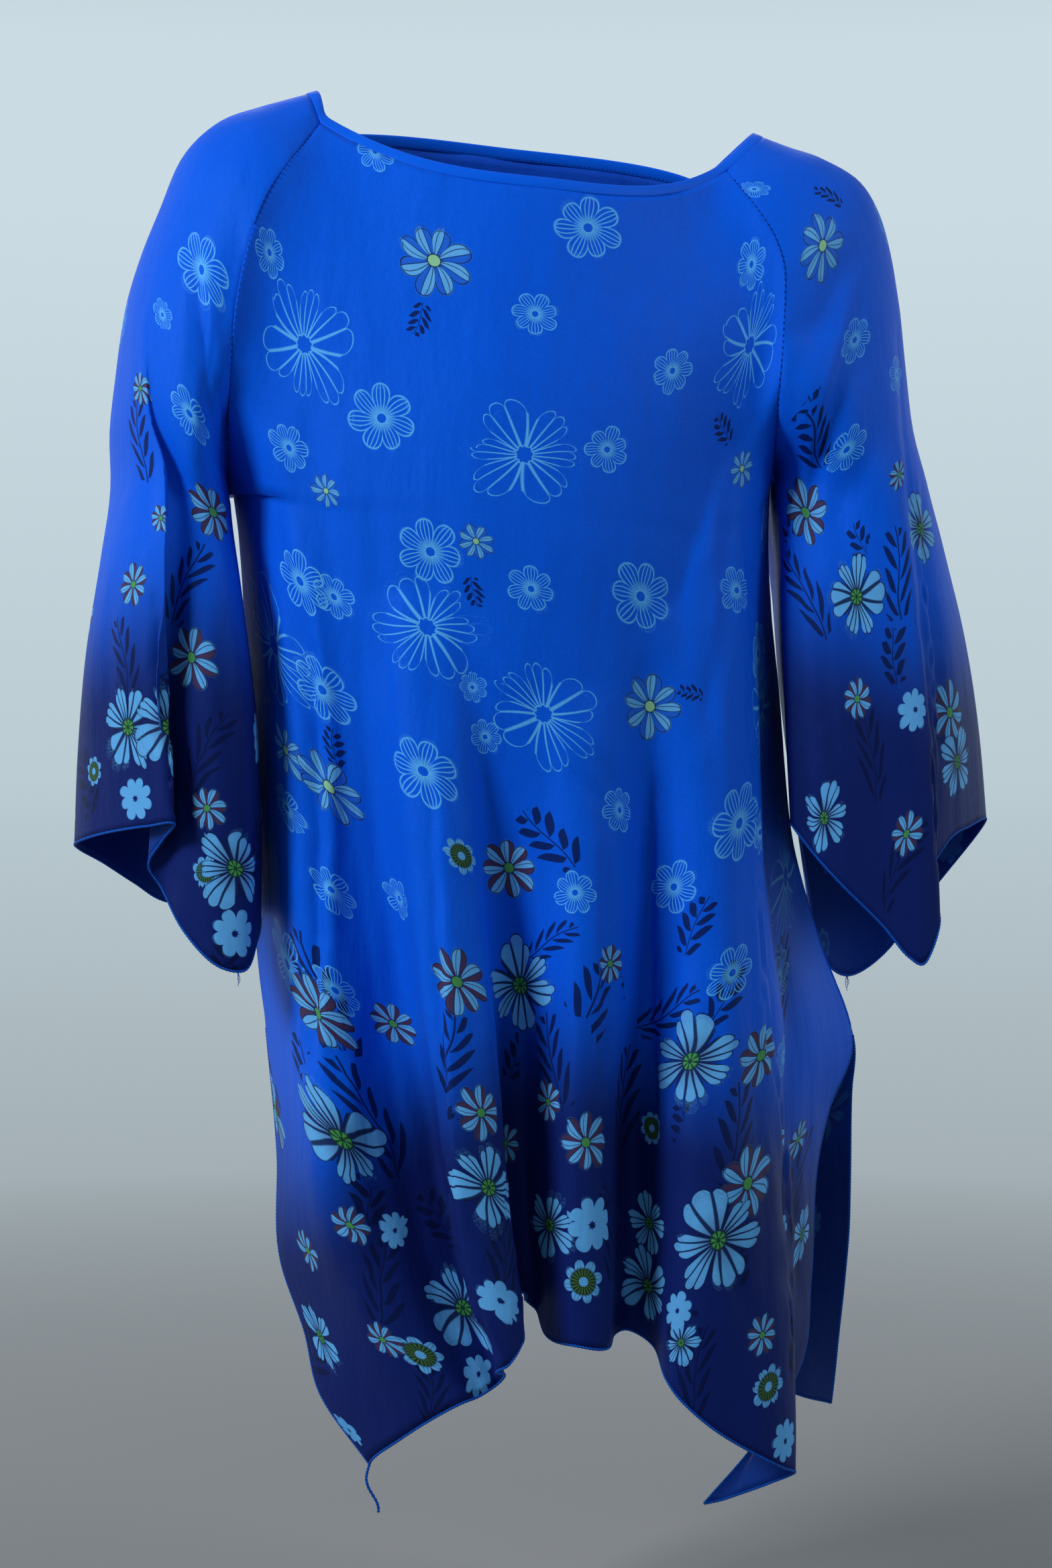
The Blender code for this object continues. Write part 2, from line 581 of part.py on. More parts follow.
def neck_loop(front, back, right, left):
    """Points round the neckline and the way out of the cloth at each, towards the opening."""
    runs = (front[:2, ::2], left[:2, ::-4], back[:2, ::-2], right[:2, ::4])
    edge = np.concatenate([run[0, :-1] for run in runs])
    below = np.concatenate([run[1, :-1] for run in runs])
    plain = (edge - below) / np.linalg.norm(edge - below, axis=-1, keepdims=True)
    way = plain
    for _ in range(4):
        way = (np.roll(way, 1, axis=0) + 2 * way + np.roll(way, -1, axis=0)) / 4
        way /= np.linalg.norm(way, axis=-1, keepdims=True)
    tilt = np.sqrt(1 - np.clip((way * plain).sum(-1, keepdims=True), 0, 1) ** 2)
    return edge, way, tilt


def binding_mesh(front, back, right, left):
    """The narrow band round the neckline."""
    edge, way, tilt = neck_loop(front, back, right, left)
    outer = edge + way * (SEAM_GAP + BINDING_WALL * tilt)
    inner = edge + way * (SEAM_GAP + BINDING_WIDTH)
    points = np.stack([inner, outer])
    points = np.concatenate([points, points[:, :1]], axis=1)
    return grid_mesh("neck_binding", points, closed_from=0)


def main():
    """Builds the tunic."""
    for old in list(bpy.data.objects):
        bpy.data.objects.remove(old)
    collection = bpy.data.collections.new("tunic_top")
    bpy.context.scene.collection.children.link(collection)
    front, back = panel_grid(FRONT), panel_grid(BACK)
    right = sleeve_grid(SLEEVE_RIGHT, CUFF_RIGHT)
    left = sleeve_grid(SLEEVE_LEFT, CUFF_LEFT)
    binding = binding_mesh(front, back, right, left)
    trim_edges(front, back, right, left)
    blue, navy = (0.010, 0.075, 0.68), (0.007, 0.011, 0.115)
    add_wall("front", grid_mesh("front", front), WALL, blue, collection)
    add_wall("back", grid_mesh("back", back[:, ::-1]), WALL, blue, collection)
    add_wall("sleeve_right", grid_mesh("sleeve_right", right, ARM_ROWS), WALL, navy, collection)
    add_wall("sleeve_left", grid_mesh("sleeve_left", left[:, ::-1], ARM_ROWS), WALL, navy, collection)
    add_wall("neck_binding", binding, BINDING_WALL, blue, collection)


main()
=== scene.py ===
"""A loose printed jersey tunic in its worn form: creased cloth, its flower print and its sewing.

Front, back, two raglan sleeves and the neck binding are thin cloth on the forms of their solids.
Metres, +Z up, -Y front, +X the wearer's left. The origin is where the shoulders hold the neckline.
"""
import math

import bpy
import numpy as np
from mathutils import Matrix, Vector


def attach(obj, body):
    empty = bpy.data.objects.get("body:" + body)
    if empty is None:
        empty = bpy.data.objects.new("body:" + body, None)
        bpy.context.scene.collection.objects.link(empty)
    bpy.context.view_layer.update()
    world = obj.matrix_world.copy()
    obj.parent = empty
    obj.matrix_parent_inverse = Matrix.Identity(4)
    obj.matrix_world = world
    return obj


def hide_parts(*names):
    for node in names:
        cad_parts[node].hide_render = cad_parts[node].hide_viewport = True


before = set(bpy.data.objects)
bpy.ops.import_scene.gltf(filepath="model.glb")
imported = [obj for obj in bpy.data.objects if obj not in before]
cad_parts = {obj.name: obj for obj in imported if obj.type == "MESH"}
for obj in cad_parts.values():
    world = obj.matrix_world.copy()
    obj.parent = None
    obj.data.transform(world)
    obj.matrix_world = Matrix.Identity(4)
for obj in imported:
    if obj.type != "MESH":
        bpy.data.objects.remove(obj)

# Neck binding
BINDING_WIDTH = 0.0076
BINDING_WALL = 0.0022
BINDING_STEP = 0.0025
BINDING_LAP = 0.0004
PUCKER = 0.05
PUCKER_TURN = 1.9

# The front view that across and height sizes below are measured in: its turn about the origin,
# its distance and the place that it faces. Sizes hold at the plane through the origin
VIEW_TURN = math.radians(12)
VIEW_DISTANCE = 1.75
VIEW_ACROSS = -0.0054
VIEW_HEIGHT = -0.4518

# Neckline
NECK_FRONT = (0.030, -0.053)
NECK_BACK = (0.004, -0.034)
NECK_FLATNESS = 2.8

# How far down each piece its marks lie, as shares of its length
UNDERARM_ALONG = 0.68
UNDERARM_DOWN = 0.29
VENT_TOP = 0.55
KNEE_DOWN = 0.80
KNEE_STEP = (KNEE_DOWN - UNDERARM_DOWN) / (1 - UNDERARM_DOWN)

# The tables hold lengths in millimetres. These columns hold shares and turns in degrees instead
PLAIN_COLUMNS = ("along", "turn", "step", "share", "start", "down")

# Sleeves from the neck down: the outer line, the raglan seam and then the inner line, the depth of the
# middle, half the depth across, and half the turn of cloth between the two seams
SLEEVE_COLUMNS = ("along", "out_across", "out_height", "in_across", "in_height", "depth", "half", "turn")
SLEEVE_RIGHT = (
    (0.0, -153, 10, -143.6, -7.7, 0, 33, 70),
    (0.08, -184, 1, -156, -24, 0, 52, 72),
    (0.16, -213, -10, -166.5, -37, 0, 67, 74),
    (0.24, -236, -32, -179, -56, 0, 77, 76),
    (0.32, -251, -67, -188, -78, 0, 84, 78),
    (0.4, -264, -100, -196, -108, 0, 88, 83),
    (0.48, -274, -135, -201, -140, 0, 90, 96),
    (0.56, -280, -180, -204, -185, 0, 90, 120),
    (0.62, -283.5, -215, -205, -222, 0, 88, 148),
    (0.68, -283, -250, -205, -255, -3, 86, 180),
    (0.76, -290, -300, -198, -305, -26, 83, 180),
    (0.84, -300, -365, -189, -370, -33, 84, 180),
    (0.92, -305, -430, -185.5, -435, -24, 88, 180),
    (1.0, -307, -493, -187, -500, -20, 90, 180),
)
SLEEVE_LEFT = (
    (0.0, 152, -19, 129, -39.6, 0, 36, 70),
    (0.08, 168, -26, 139, -52, 0, 54, 72),
    (0.16, 190, -34, 151, -67, 0, 68, 74),
    (0.24, 214, -49, 162, -85, 0, 78, 76),
    (0.32, 227, -71, 168, -104, 0, 85, 78),
    (0.4, 234.5, -99.5, 168.5, -125, 0, 88, 81),
    (0.48, 240, -137, 167, -152, 0, 90, 89),
    (0.56, 246, -180, 164, -187, 0, 90, 106),
    (0.62, 251.5, -218, 162, -220, 0, 88, 135),
    (0.68, 260.6, -252, 161, -252, -3, 86, 180),
    (0.76, 274, -295, 166, -300, -10, 86, 180),
    (0.84, 288, -350, 170, -360, -16, 88, 180),
    (0.92, 298, -410, 178, -425, -20, 90, 180),
    (1.0, 303, -475, 187, -490, -22, 92, 180),
)

# Sleeve hems by the turn round the arm, 0 outside and 90 in front: where each fold's crest or valley lies
CUFF_COLUMNS = ("turn", "across", "height", "depth")
CUFF_RIGHT = (
    (-168, -197, -535, 8), (-140, -215, -535, 50), (-110, -248, -530, 72), (-80, -268, -518, 70),
    (-50, -288, -505, 50), (-20, -305, -495, 15), (10, -305, -490, -25), (35, -285, -484, -62),
    (55, -259, -480, -90), (68, -241.5, -479, -102), (76, -249.5, -490, -87), (84, -258.5, -505, -76),
    (94, -249.5, -522, -73), (106, -236, -549, -86), (120, -212, -574, -96), (130, -194, -577, -94),
    (142, -186, -558, -80), (158, -184, -541, -50), (175, -191, -537, -15),
)
CUFF_LEFT = (
    (-165, 185, -530, 35), (-145, 187.5, -558, 55), (-125, 199, -575, 65), (-105, 212, -580, 72),
    (-80, 235, -565, 68), (-50, 265, -525, 50), (-20, 297, -485, 15), (0, 303, -475, -10),
    (25, 292, -480, -50), (42, 279, -488, -75), (54, 268.5, -503, -88), (62, 262, -512, -92),
    (70, 268, -527, -104), (77, 271.5, -544.5, -110), (86, 263, -571, -114), (96, 251.6, -568, -112),
    (108, 235, -548, -108), (125, 208, -521, -106), (145, 188, -499, -100), (165, 172, -478, -85),
    (180, 178, -485, -45),
)
CUFF_START = 0.48

# How fast folds grow along X, Y and Z: they deepen before they lean over
FOLD_GROWTH = (1.5, 0.8, 1.2)

# How closely an edge's own bends keep to it, as powers of a panel's share of width at the underarm
# and at the knee
ACROSS_REACH = (3.5, 8)
DEPTH_REACH = (9, 4)

# Side seams and vent edges from the underarm down to the corners
EDGE_COLUMNS = ("step", "across", "height", "depth")
FRONT_EDGE_RIGHT = (
    (0.0, -202, -255, -3), (0.05, -199, -278, 0), (0.1, -197, -300, 0), (0.25, -192.5, -400, 0),
    (0.4, -189.5, -500, 0), (0.48, -187, -555, 0), (0.55, -180, -615, 0), (0.7, -172.5, -700, -25),
    (0.8, -170, -770, -45), (0.87, -154, -819, -65), (0.93, -144.5, -860, -82),
    (1.0, -111, -908.5, -105),
)
FRONT_EDGE_LEFT = (
    (0.0, 158, -252, -3), (0.05, 157, -276, 0), (0.1, 157, -300, 0), (0.25, 165.5, -400, 0),
    (0.4, 176, -500, 0), (0.48, 193, -560, 0), (0.55, 214, -620, 0), (0.63, 198.5, -670, -20),
    (0.7, 190, -710, -35), (0.8, 186, -785, -55), (0.88, 178, -845, -78), (0.94, 150, -893, -100),
    (1.0, 114, -934.7, -115),
)
BACK_EDGE_RIGHT = FRONT_EDGE_RIGHT[:7] + (
    (0.65, -172, -670, 15), (0.78, -162, -750, 33), (0.9, -146, -830, 52), (1.0, -118, -878, 70),
)
BACK_EDGE_LEFT = FRONT_EDGE_LEFT[:7] + (
    (0.62, 213, -660, 12), (0.75, 211.5, -750, 25), (0.88, 206, -810, 36), (1.0, 199.4, -867, 48),
)

# Folds of a panel, one row for each crest, edge or valley: its share of the width, how far down it starts,
# its place at the knee and its place on the hem
FOLD_COLUMNS = ("share", "start", "knee_across", "knee_depth", "hem_across", "hem_height", "hem_depth")
FRONT_FOLDS = (
    (-0.9, 0.24, -160, -75, -92, -893, -125),
    (-0.82, 0.24, -148, -112, -72, -880, -140),
    (-0.7, 0.28, -120, -120, -50, -868, -150),
    (-0.58, 0.34, -85, -102, -34, -861, -142),
    (-0.5, 0.36, -64, -104, -22, -852, -138),
    (-0.46, 0.36, -61, -124, -20, -848, -152),
    (-0.42, 0.36, -65, -146, -26, -847, -166),
    (-0.34, 0.36, -48, -164, -16.5, -841, -175),
    (-0.26, 0.38, -25, -152, -8, -823.5, -163),
    (-0.18, 0.42, -23, -117, -10, -792.5, -125),
    (-0.12, 0.44, -9.5, -111, 0, -803, -118),
    (-0.04, 0.44, 4.5, -125, 8.5, -822, -136),
    (0.06, 0.44, 25, -152, 29, -829, -157),
    (0.16, 0.44, 50, -140, 50, -830, -150),
    (0.22, 0.44, 56, -114, 53.5, -821.5, -126),
    (0.3, 0.4, 68, -104, 64, -818, -114),
    (0.38, 0.36, 83, -120, 80, -829, -125),
    (0.46, 0.35, 100, -145, 87.5, -850, -148),
    (0.56, 0.3, 122, -155, 103, -870, -160),
    (0.66, 0.26, 143, -150, 130, -891, -160),
    (0.76, 0.24, 162, -132, 168, -911, -150),
    (0.8, 0.24, 166, -116, 175, -913.5, -138),
    (0.85, 0.24, 160, -100, 160, -920, -128),
    (0.92, 0.24, 172, -80, 135, -929, -120),
)
BACK_FOLDS = (
    (-0.88, 0.3, -150, 62, -98, -866, 95),
    (-0.74, 0.34, -122, 105, -80, -852, 125),
    (-0.62, 0.38, -98, 78, -68, -838, 94),
    (-0.48, 0.4, -78, 88, -52, -822, 100),
    (-0.34, 0.34, -56, 128, -40, -805, 142),
    (-0.2, 0.36, -34, 118, -26, -790, 135),
    (-0.08, 0.42, -14, 88, -8, -778, 100),
    (0.06, 0.42, 6, 93, 8, -775, 104),
    (0.2, 0.36, 26, 132, 24, -778, 144),
    (0.34, 0.4, 50, 122, 48, -790, 135),
    (0.46, 0.44, 70, 88, 72, -800, 100),
    (0.58, 0.42, 92, 88, 98, -812, 99),
    (0.72, 0.36, 122, 112, 130, -836, 125),
    (0.86, 0.34, 166, 88, 172, -859.5, 90),
)

# Depth of each panel's middle and sides from the neck down, and how far its section turns at the sides
SECTION_COLUMNS = ("down", "depth", "side", "turn")
FRONT_SECTION = (
    (0.0, -83, -31, 30), (0.1, -106, -58, 36), (0.2, -124, -60, 50), (0.3, -131, -50, 62),
    (0.42, -131, -26, 72), (0.6, -130, 0, 80), (1.0, -135, 0, 80),
)
BACK_SECTION = (
    (0.0, 66, 31, 30), (0.1, 90, 56, 36), (0.2, 101, 58, 50), (0.3, 100, 48, 62), (0.42, 95, 24, 72),
    (0.6, 97, 0, 80), (1.0, 110, 0, 80),
)


def seen_x(across, depth):
    """The x of a point measured across the front view, at its depth y."""
    side = across - VIEW_ACROSS
    cos, sin = math.cos(VIEW_TURN), math.sin(VIEW_TURN)
    ahead = VIEW_ACROSS + sin * depth + side * (1 + cos * depth / VIEW_DISTANCE)
    return ahead / (cos - side * sin / VIEW_DISTANCE)


def seen_z(height, x, depth):
    """The z of a point measured up the front view, at its x and its depth y."""
    away = math.sin(VIEW_TURN) * x + math.cos(VIEW_TURN) * depth
    return VIEW_HEIGHT + (height - VIEW_HEIGHT) * (1 + away / VIEW_DISTANCE)


def seen(across, height, depth):
    """The point at a depth y that the front view shows at (across, height)."""
    x = seen_x(across, depth)
    return np.stack([x, depth + 0 * x, seen_z(height, x, depth)], axis=-1)


def curve(keys, values, at):
    """A smooth curve through values at rising keys."""
    keys = np.asarray(keys, float)
    values = np.asarray(values, float)
    at = np.clip(np.asarray(at, float), keys[0], keys[-1])
    slopes = np.gradient(values, keys, axis=0)
    i = np.clip(np.searchsorted(keys, at, side="right") - 1, 0, len(keys) - 2)
    step = keys[i + 1] - keys[i]
    t = (at - keys[i]) / step
    if values.ndim > 1:
        t = t[..., None]
        step = step[..., None]
    rise = (1 - t) ** 2 * (1 + 2 * t) * values[i] + t**2 * (3 - 2 * t) * values[i + 1]
    return rise + step * t * (1 - t) * ((1 - t) * slopes[i] - t * slopes[i + 1])


def column(table, names, name):
    """One named column of a table, with lengths in metres."""
    values = np.array([row[names.index(name)] for row in table], float)
    return values if name in PLAIN_COLUMNS else values / 1000


def sleeve_line(table, name, along):
    """A sleeve column at places along it."""
    keys = column(table, SLEEVE_COLUMNS, "along")
    return curve(keys, column(table, SLEEVE_COLUMNS, name), along)


def sleeve_ring(table, along, share):
    """Points of the plain sleeve: share runs from -1 at the back seam to 1 at the front one."""
    half = sleeve_line(table, "half", along)
    turn = np.radians(np.minimum(sleeve_line(table, "turn", along), 180))
    turn = np.where(along >= UNDERARM_ALONG - 1e-9, math.pi, turn)
    depth = sleeve_line(table, "depth", along)
    spread = half * np.sin(turn)
    out_across, out_height, in_across, in_height = (
        sleeve_line(table, name, along) for name in SLEEVE_COLUMNS[1:5])
    seam = seen(in_across, in_height, depth - spread)
    inner = seam + np.stack([0 * spread, spread, 0 * spread], axis=-1)
    outer = seen(out_across, out_height, depth)
    reach = np.linalg.norm(outer - inner, axis=-1)
    out = (outer - inner) / reach[..., None]
    radius = reach / (1 - np.cos(turn))
    angle = turn * share
    points = outer + (radius * (np.cos(angle) - 1))[..., None] * out
    points[..., 1] -= half * np.sin(angle)
    return points


def cuff_places(table, share):
    """Where the folds bring a sleeve's hem, round the arm."""
    turns = column(table, CUFF_COLUMNS, "turn")
    turns = np.concatenate([turns[-3:] - 360, turns, turns[:3] + 360])
    values = [column(table, CUFF_COLUMNS, name) for name in ("across", "height", "depth")]
    values = np.stack([np.concatenate([v[-3:], v, v[:3]]) for v in values], axis=-1)
    placed = curve(turns, values, 180 * np.asarray(share, float))
    return seen(placed[..., 0], placed[..., 1], placed[..., 2])


def sleeve_points(table, cuff, along, share):
    """Points of a sleeve with its folds, which grow from the shoulder to the hem."""
    along, share = np.broadcast_arrays(np.asarray(along, float), np.asarray(share, float))
    points = sleeve_ring(table, along, share)
    change = cuff_places(cuff, share) - sleeve_ring(table, np.ones(share.shape), share)
    grown = np.clip((along - CUFF_START) / (1 - CUFF_START), 0, 1)
    for axis, power in enumerate(FOLD_GROWTH):
        points[..., axis] += change[..., axis] * grown**power
    return points


def edge_points(table, step):
    """Points of a side seam and vent edge below the underarm."""
    keys = column(table, EDGE_COLUMNS, "step")
    across, height, depth = (curve(keys, column(table, EDGE_COLUMNS, n), step) for n in EDGE_COLUMNS[1:])
    return seen(across, height, depth)


def panel_edge(down, sleeve, cuff, edge, front):
    """One edge of a panel: the raglan seam and, under the arm, the side seam and vent."""
    down = np.asarray(down, float)
    along = np.minimum(down / UNDERARM_DOWN, 1) * UNDERARM_ALONG
    upper = sleeve_points(sleeve, cuff, along, np.where(front, 1.0, -1.0) + 0 * along)
    step = np.clip((down - UNDERARM_DOWN) / (1 - UNDERARM_DOWN), 0, 1)
    lower = edge_points(edge, step)
    return np.where((down < UNDERARM_DOWN)[..., None], upper, lower)


def panel_base(panel, down, share):
    """Points of a panel without its folds."""
    right = panel_edge(down, SLEEVE_RIGHT, CUFF_RIGHT, panel["right"], panel["front"])
    left = panel_edge(down, SLEEVE_LEFT, CUFF_LEFT, panel["left"], panel["front"])
    keys = column(panel["section"], SECTION_COLUMNS, "down")
    depth, side, turn = (curve(keys, column(panel["section"], SECTION_COLUMNS, name), down)
                         for name in ("depth", "side", "turn"))
    turn = np.radians(turn)
    reach = np.sin(turn * share) / np.sin(turn)
    bulge = (np.cos(turn * share) - np.cos(turn)) / (1 - np.cos(turn))
    weight = ((1 + reach) / 2)[..., None]
    low = np.clip((down - UNDERARM_DOWN) / (KNEE_DOWN - UNDERARM_DOWN), 0, 1)
    powers = [top + (knee - top) * low for top, knee in (ACROSS_REACH, DEPTH_REACH)]
    near_side = np.stack([np.abs(share) ** powers[0], np.abs(share) ** powers[1], 0 * share], axis=-1)
    facing_right, facing_left = (0, -1) if panel["front"] else (1, 0)
    straight_right = straight_edge(right, SLEEVE_RIGHT, panel["right"], down, side, facing_right)
    straight_left = straight_edge(left, SLEEVE_LEFT, panel["left"], down, side, facing_left)
    points = straight_right * (1 - weight) + straight_left * weight
    points[..., 1] += (depth - points[..., 1]) * bulge
    bend = np.where((share < 0)[..., None], right - straight_right, left - straight_left)
    points += bend * near_side
    points[..., 2] = panel_height(panel, right, left, down, share)
    return points


def straight_edge(points, sleeve, edge, down, side, facing):
    """An edge's points without its own bends, which the panel's middle doesn't follow.

    They lie at the depth of the raglan seam towards the side it is facing, or in the middle for 0.
    """
    along = np.minimum(down / UNDERARM_DOWN, 1) * UNDERARM_ALONG
    turn = np.radians(np.minimum(sleeve_line(sleeve, "turn", along), 90))
    depth = facing * sleeve_line(sleeve, "half", along) * np.sin(turn)
    knee = curve(column(edge, EDGE_COLUMNS, "step"), column(edge, EDGE_COLUMNS, "across"), KNEE_STEP)
    share = np.clip((down - UNDERARM_DOWN) / (KNEE_DOWN - UNDERARM_DOWN), 0, 1)
    underarm = column(edge, EDGE_COLUMNS, "across")[0]
    across = np.where(down < UNDERARM_DOWN, sleeve_line(sleeve, "in_across", along),
                      underarm + (knee - underarm) * share)
    straight = points.copy()
    straight[..., 0] = seen_x(across, depth + (side - depth) * share)
    straight[..., 1] = side
    return straight


def panel_height(panel, right, left, down, share):
    """Heights of a panel's rows, which sag from the neckline to the hem."""
    ends = [panel_edge(np.array(d), s, c, panel[e], panel["front"])[2]
            for d in (0.0, 1.0)
            for s, c, e in ((SLEEVE_RIGHT, CUFF_RIGHT, "right"), (SLEEVE_LEFT, CUFF_LEFT, "left"))]
    weight = (1 + share) / 2
    across, height = panel["neck"]
    depth = column(panel["section"], SECTION_COLUMNS, "depth")[0]
    middle = seen_z(height, seen_x(across, depth), depth)
    top = ends[0] * (1 - weight) + ends[1] * weight
    top = top + (middle - (ends[0] + ends[1]) / 2) * (1 - np.abs(share) ** NECK_FLATNESS)
    hem = fold_heights(panel, share, ends[2], ends[3])
    drop_right = (right[..., 2] - ends[0]) / (ends[2] - ends[0])
    drop_left = (left[..., 2] - ends[1]) / (ends[3] - ends[1])
    drop_side = np.where(share < 0, drop_right, drop_left)
    drop = down + (drop_side - down) * np.abs(share) ** 4
    even = ends[2] * (1 - weight) + ends[3] * weight
    lowest_middle = fold_heights(panel, np.array(0.0), ends[2], ends[3])
    even = even + (lowest_middle - (ends[2] + ends[3]) / 2) * (1 - np.abs(share) ** 1.5)
    return top + (even - top) * drop + (hem - even) * drop**2.5


def fold_heights(panel, share, right_end, left_end):
    """Heights of a panel's hem across its folds."""
    rows = panel["folds"]
    heights = column(rows, FOLD_COLUMNS, "hem_height")
    depths = column(rows, FOLD_COLUMNS, "hem_depth")
    x = seen_x(column(rows, FOLD_COLUMNS, "hem_across"), depths)
    values = np.concatenate([[right_end], seen_z(heights, x, depths), [left_end]])
    return curve(fold_shares(panel), values, share)


def fold_shares(panel):
    """The folds' shares of a panel's width, with its two edges."""
    return np.concatenate([[-1.0], column(panel["folds"], FOLD_COLUMNS, "share"), [1.0]])


def fold_changes(panel, place, down):
    """How far each fold moves its place at the knee or on the hem."""
    rows = panel["folds"]
    shares = column(rows, FOLD_COLUMNS, "share")
    plain = panel_base(panel, np.full(shares.shape, down), shares)
    depth = column(rows, FOLD_COLUMNS, place + "_depth")
    x = seen_x(column(rows, FOLD_COLUMNS, place + "_across"), depth)
    change = np.stack([x, depth], axis=-1) - plain[:, :2]
    return np.concatenate([np.zeros((1, 2)), change, np.zeros((1, 2))])


def panel_points(panel, down, share):
    """Points of a panel with its folds, which grow from where each starts."""
    down, share = np.broadcast_arrays(np.asarray(down, float), np.asarray(share, float))
    points = panel_base(panel, down, share)
    keys = fold_shares(panel)
    knee = curve(keys, fold_changes(panel, "knee", KNEE_DOWN), share)
    hem = curve(keys, fold_changes(panel, "hem", 1.0), share)
    starts = column(panel["folds"], FOLD_COLUMNS, "start")
    start = curve(keys, np.concatenate([starts[:1], starts, starts[-1:]]), share)
    grown = np.clip((down - start) / (KNEE_DOWN - start), 0, 1)
    late = np.clip((down - KNEE_DOWN) / (1 - KNEE_DOWN), 0, 1) ** 1.4
    for axis, power in enumerate(FOLD_GROWTH[:2]):
        points[..., axis] += knee[..., axis] * grown**power + (hem - knee)[..., axis] * late
    return points


FRONT = {"front": True, "neck": NECK_FRONT, "section": FRONT_SECTION, "folds": FRONT_FOLDS,
         "right": FRONT_EDGE_RIGHT, "left": FRONT_EDGE_LEFT}
BACK = {"front": False, "neck": NECK_BACK, "section": BACK_SECTION, "folds": BACK_FOLDS,
        "right": BACK_EDGE_RIGHT, "left": BACK_EDGE_LEFT}

# Cloth as it is seen: thickness, fine grid and the places of extra columns beside a seam
JERSEY = 0.0009
ARM_STEPS = 44
SIDE_STEPS = 62
VENT_STEPS = 46
CUFF_STEPS = 52
FINE_PARTS = {"front": 8, "back": 9, "sleeve": 7}
BESIDE_SEAM = (0.006, 0.018)
SEAM_DEPTH = 0.0006
RIPPLES = 7
RIPPLE_HEIGHT = 0.0009

# The map of what the front view shows: its cell, how thick the layer in front is and a depth past all
SEEN_CELL = 0.006
SEEN_DEPTH = 0.02
FAR = 9.0

# Creases in the front view, in millimetres: across and height of each end, how far the middle bows to
# the right, half width and depth
FRONT_CREASES = (
    (-176, -250, -150, -420, 5, 8, 3.0), (-184, -268, -170, -440, 3, 6, 2.4),
    (-165, -240, -118, -330, 8, 9, 2.4), (-168, -470, -160, -640, 4, 7, 2.4),
    (136, -262, 112, -420, -8, 8, 2.4), (-12, -540, 2, -700, 5, 8, 2.4),
    (20, -600, 26, -760, 3, 7, 2.0), (-108, -600, -96, -790, 4, 8, 2.4),
    (150, -650, 160, -820, -4, 7, 2.2), (-70, -290, -52, -470, 8, 9, 2.2),
    (-112, -250, -104, -430, -6, 8, 1.8), (18, -440, 62, -505, -9, 6, 1.9),
    (30, -430, 78, -488, -8, 5, 1.3), (-30, -420, -18, -560, 5, 10, 2.4),
    (70, -330, 84, -520, 6, 12, 2.0), (118, -300, 128, -480, 5, 8, 1.9),
    (134, -215, 118, -330, -10, 9, 2.2), (-150, -190, -122, -300, 10, 9, 2.0),
    (-80, -120, -30, -150, 6, 14, 1.2), (60, -110, 100, -150, -8, 14, 1.3),
    (-95, -560, -84, -700, 6, 7, 1.7), (110, -540, 122, -700, -5, 8, 1.8),
    (42, -600, 50, -730, 4, 6, 1.4), (-128, -480, -120, -610, 4, 6, 1.4),
    (-58, -730, -30, -790, 6, 6, 1.4), (120, -760, 150, -830, -6, 7, 1.6),
)
SLEEVE_RIGHT_CREASES = (
    (-196, -60, -222, -170, -8, 8, 2.0), (-228, -110, -246, -250, -6, 9, 2.4),
    (-214, -150, -210, -290, 4, 7, 1.9), (-262, -200, -272, -330, -4, 7, 1.8),
    (-236, -290, -240, -420, 4, 6, 1.6), (-280, -300, -290, -430, 3, 6, 1.5),
    (-205, -330, -200, -450, 3, 6, 1.4),
)
SLEEVE_LEFT_CREASES = (
    (172, -238, 228, -82, -14, 10, 3.0), (182, -262, 236, -150, -10, 8, 2.2),
    (190, -300, 250, -210, -8, 8, 1.8), (204, -190, 214, -330, 6, 9, 2.0),
    (236, -280, 262, -400, 4, 7, 1.6), (196, -340, 210, -470, 5, 7, 1.5),
    (262, -330, 284, -430, 3, 6, 1.4),
)

# Fold edges in the front view: half width and depth of the trough, the side that it lies on, -1 left or
# 1 right, and the edge's places from the top down, in millimetres. Their step's half width is in
# millimetres too, and the ridge beside it is a share of the depth
EDGE_STEP = 1.4
EDGE_RIDGE = 0.35
FRONT_FOLD_EDGES = (
    (13, 6.5, -1, ((-155, -290), (-146, -376), (-141, -428), (-141, -546), (-147, -645))),
    (13, 7.5, -1, ((-68, -380), (-63, -560), (-60, -690), (-49, -784), (-20, -843))),
    (12, 7.0, 1, ((-40, -400), (-30, -570), (-20, -690), (-6, -790), (-3, -823))),
    (14, 7.0, 1, ((138, -270), (149, -415), (158, -600), (171, -692), (177, -852))),
    (11, 4.5, 1, ((46, -480), (50, -640), (52, -760))),
    (11, 4.2, -1, ((84, -400), (80, -560), (84, -700))),
)
SLEEVE_RIGHT_FOLD_EDGES = (
    (12, 6.0, 1, ((-261, -250), (-255, -356), (-248, -406), (-240, -446), (-235, -479))),
    (10, 3.2, -1, ((-227, -56), (-221, -132), (-207, -200), (-199, -228))),
)
SLEEVE_LEFT_FOLD_EDGES = (
    (12, 5.5, 1, ((258, -220), (262, -307), (268, -361), (271, -428), (269, -505))),
    (12, 3.6, 1, ((224, -96), (206, -170), (186, -236), (172, -286))),
)

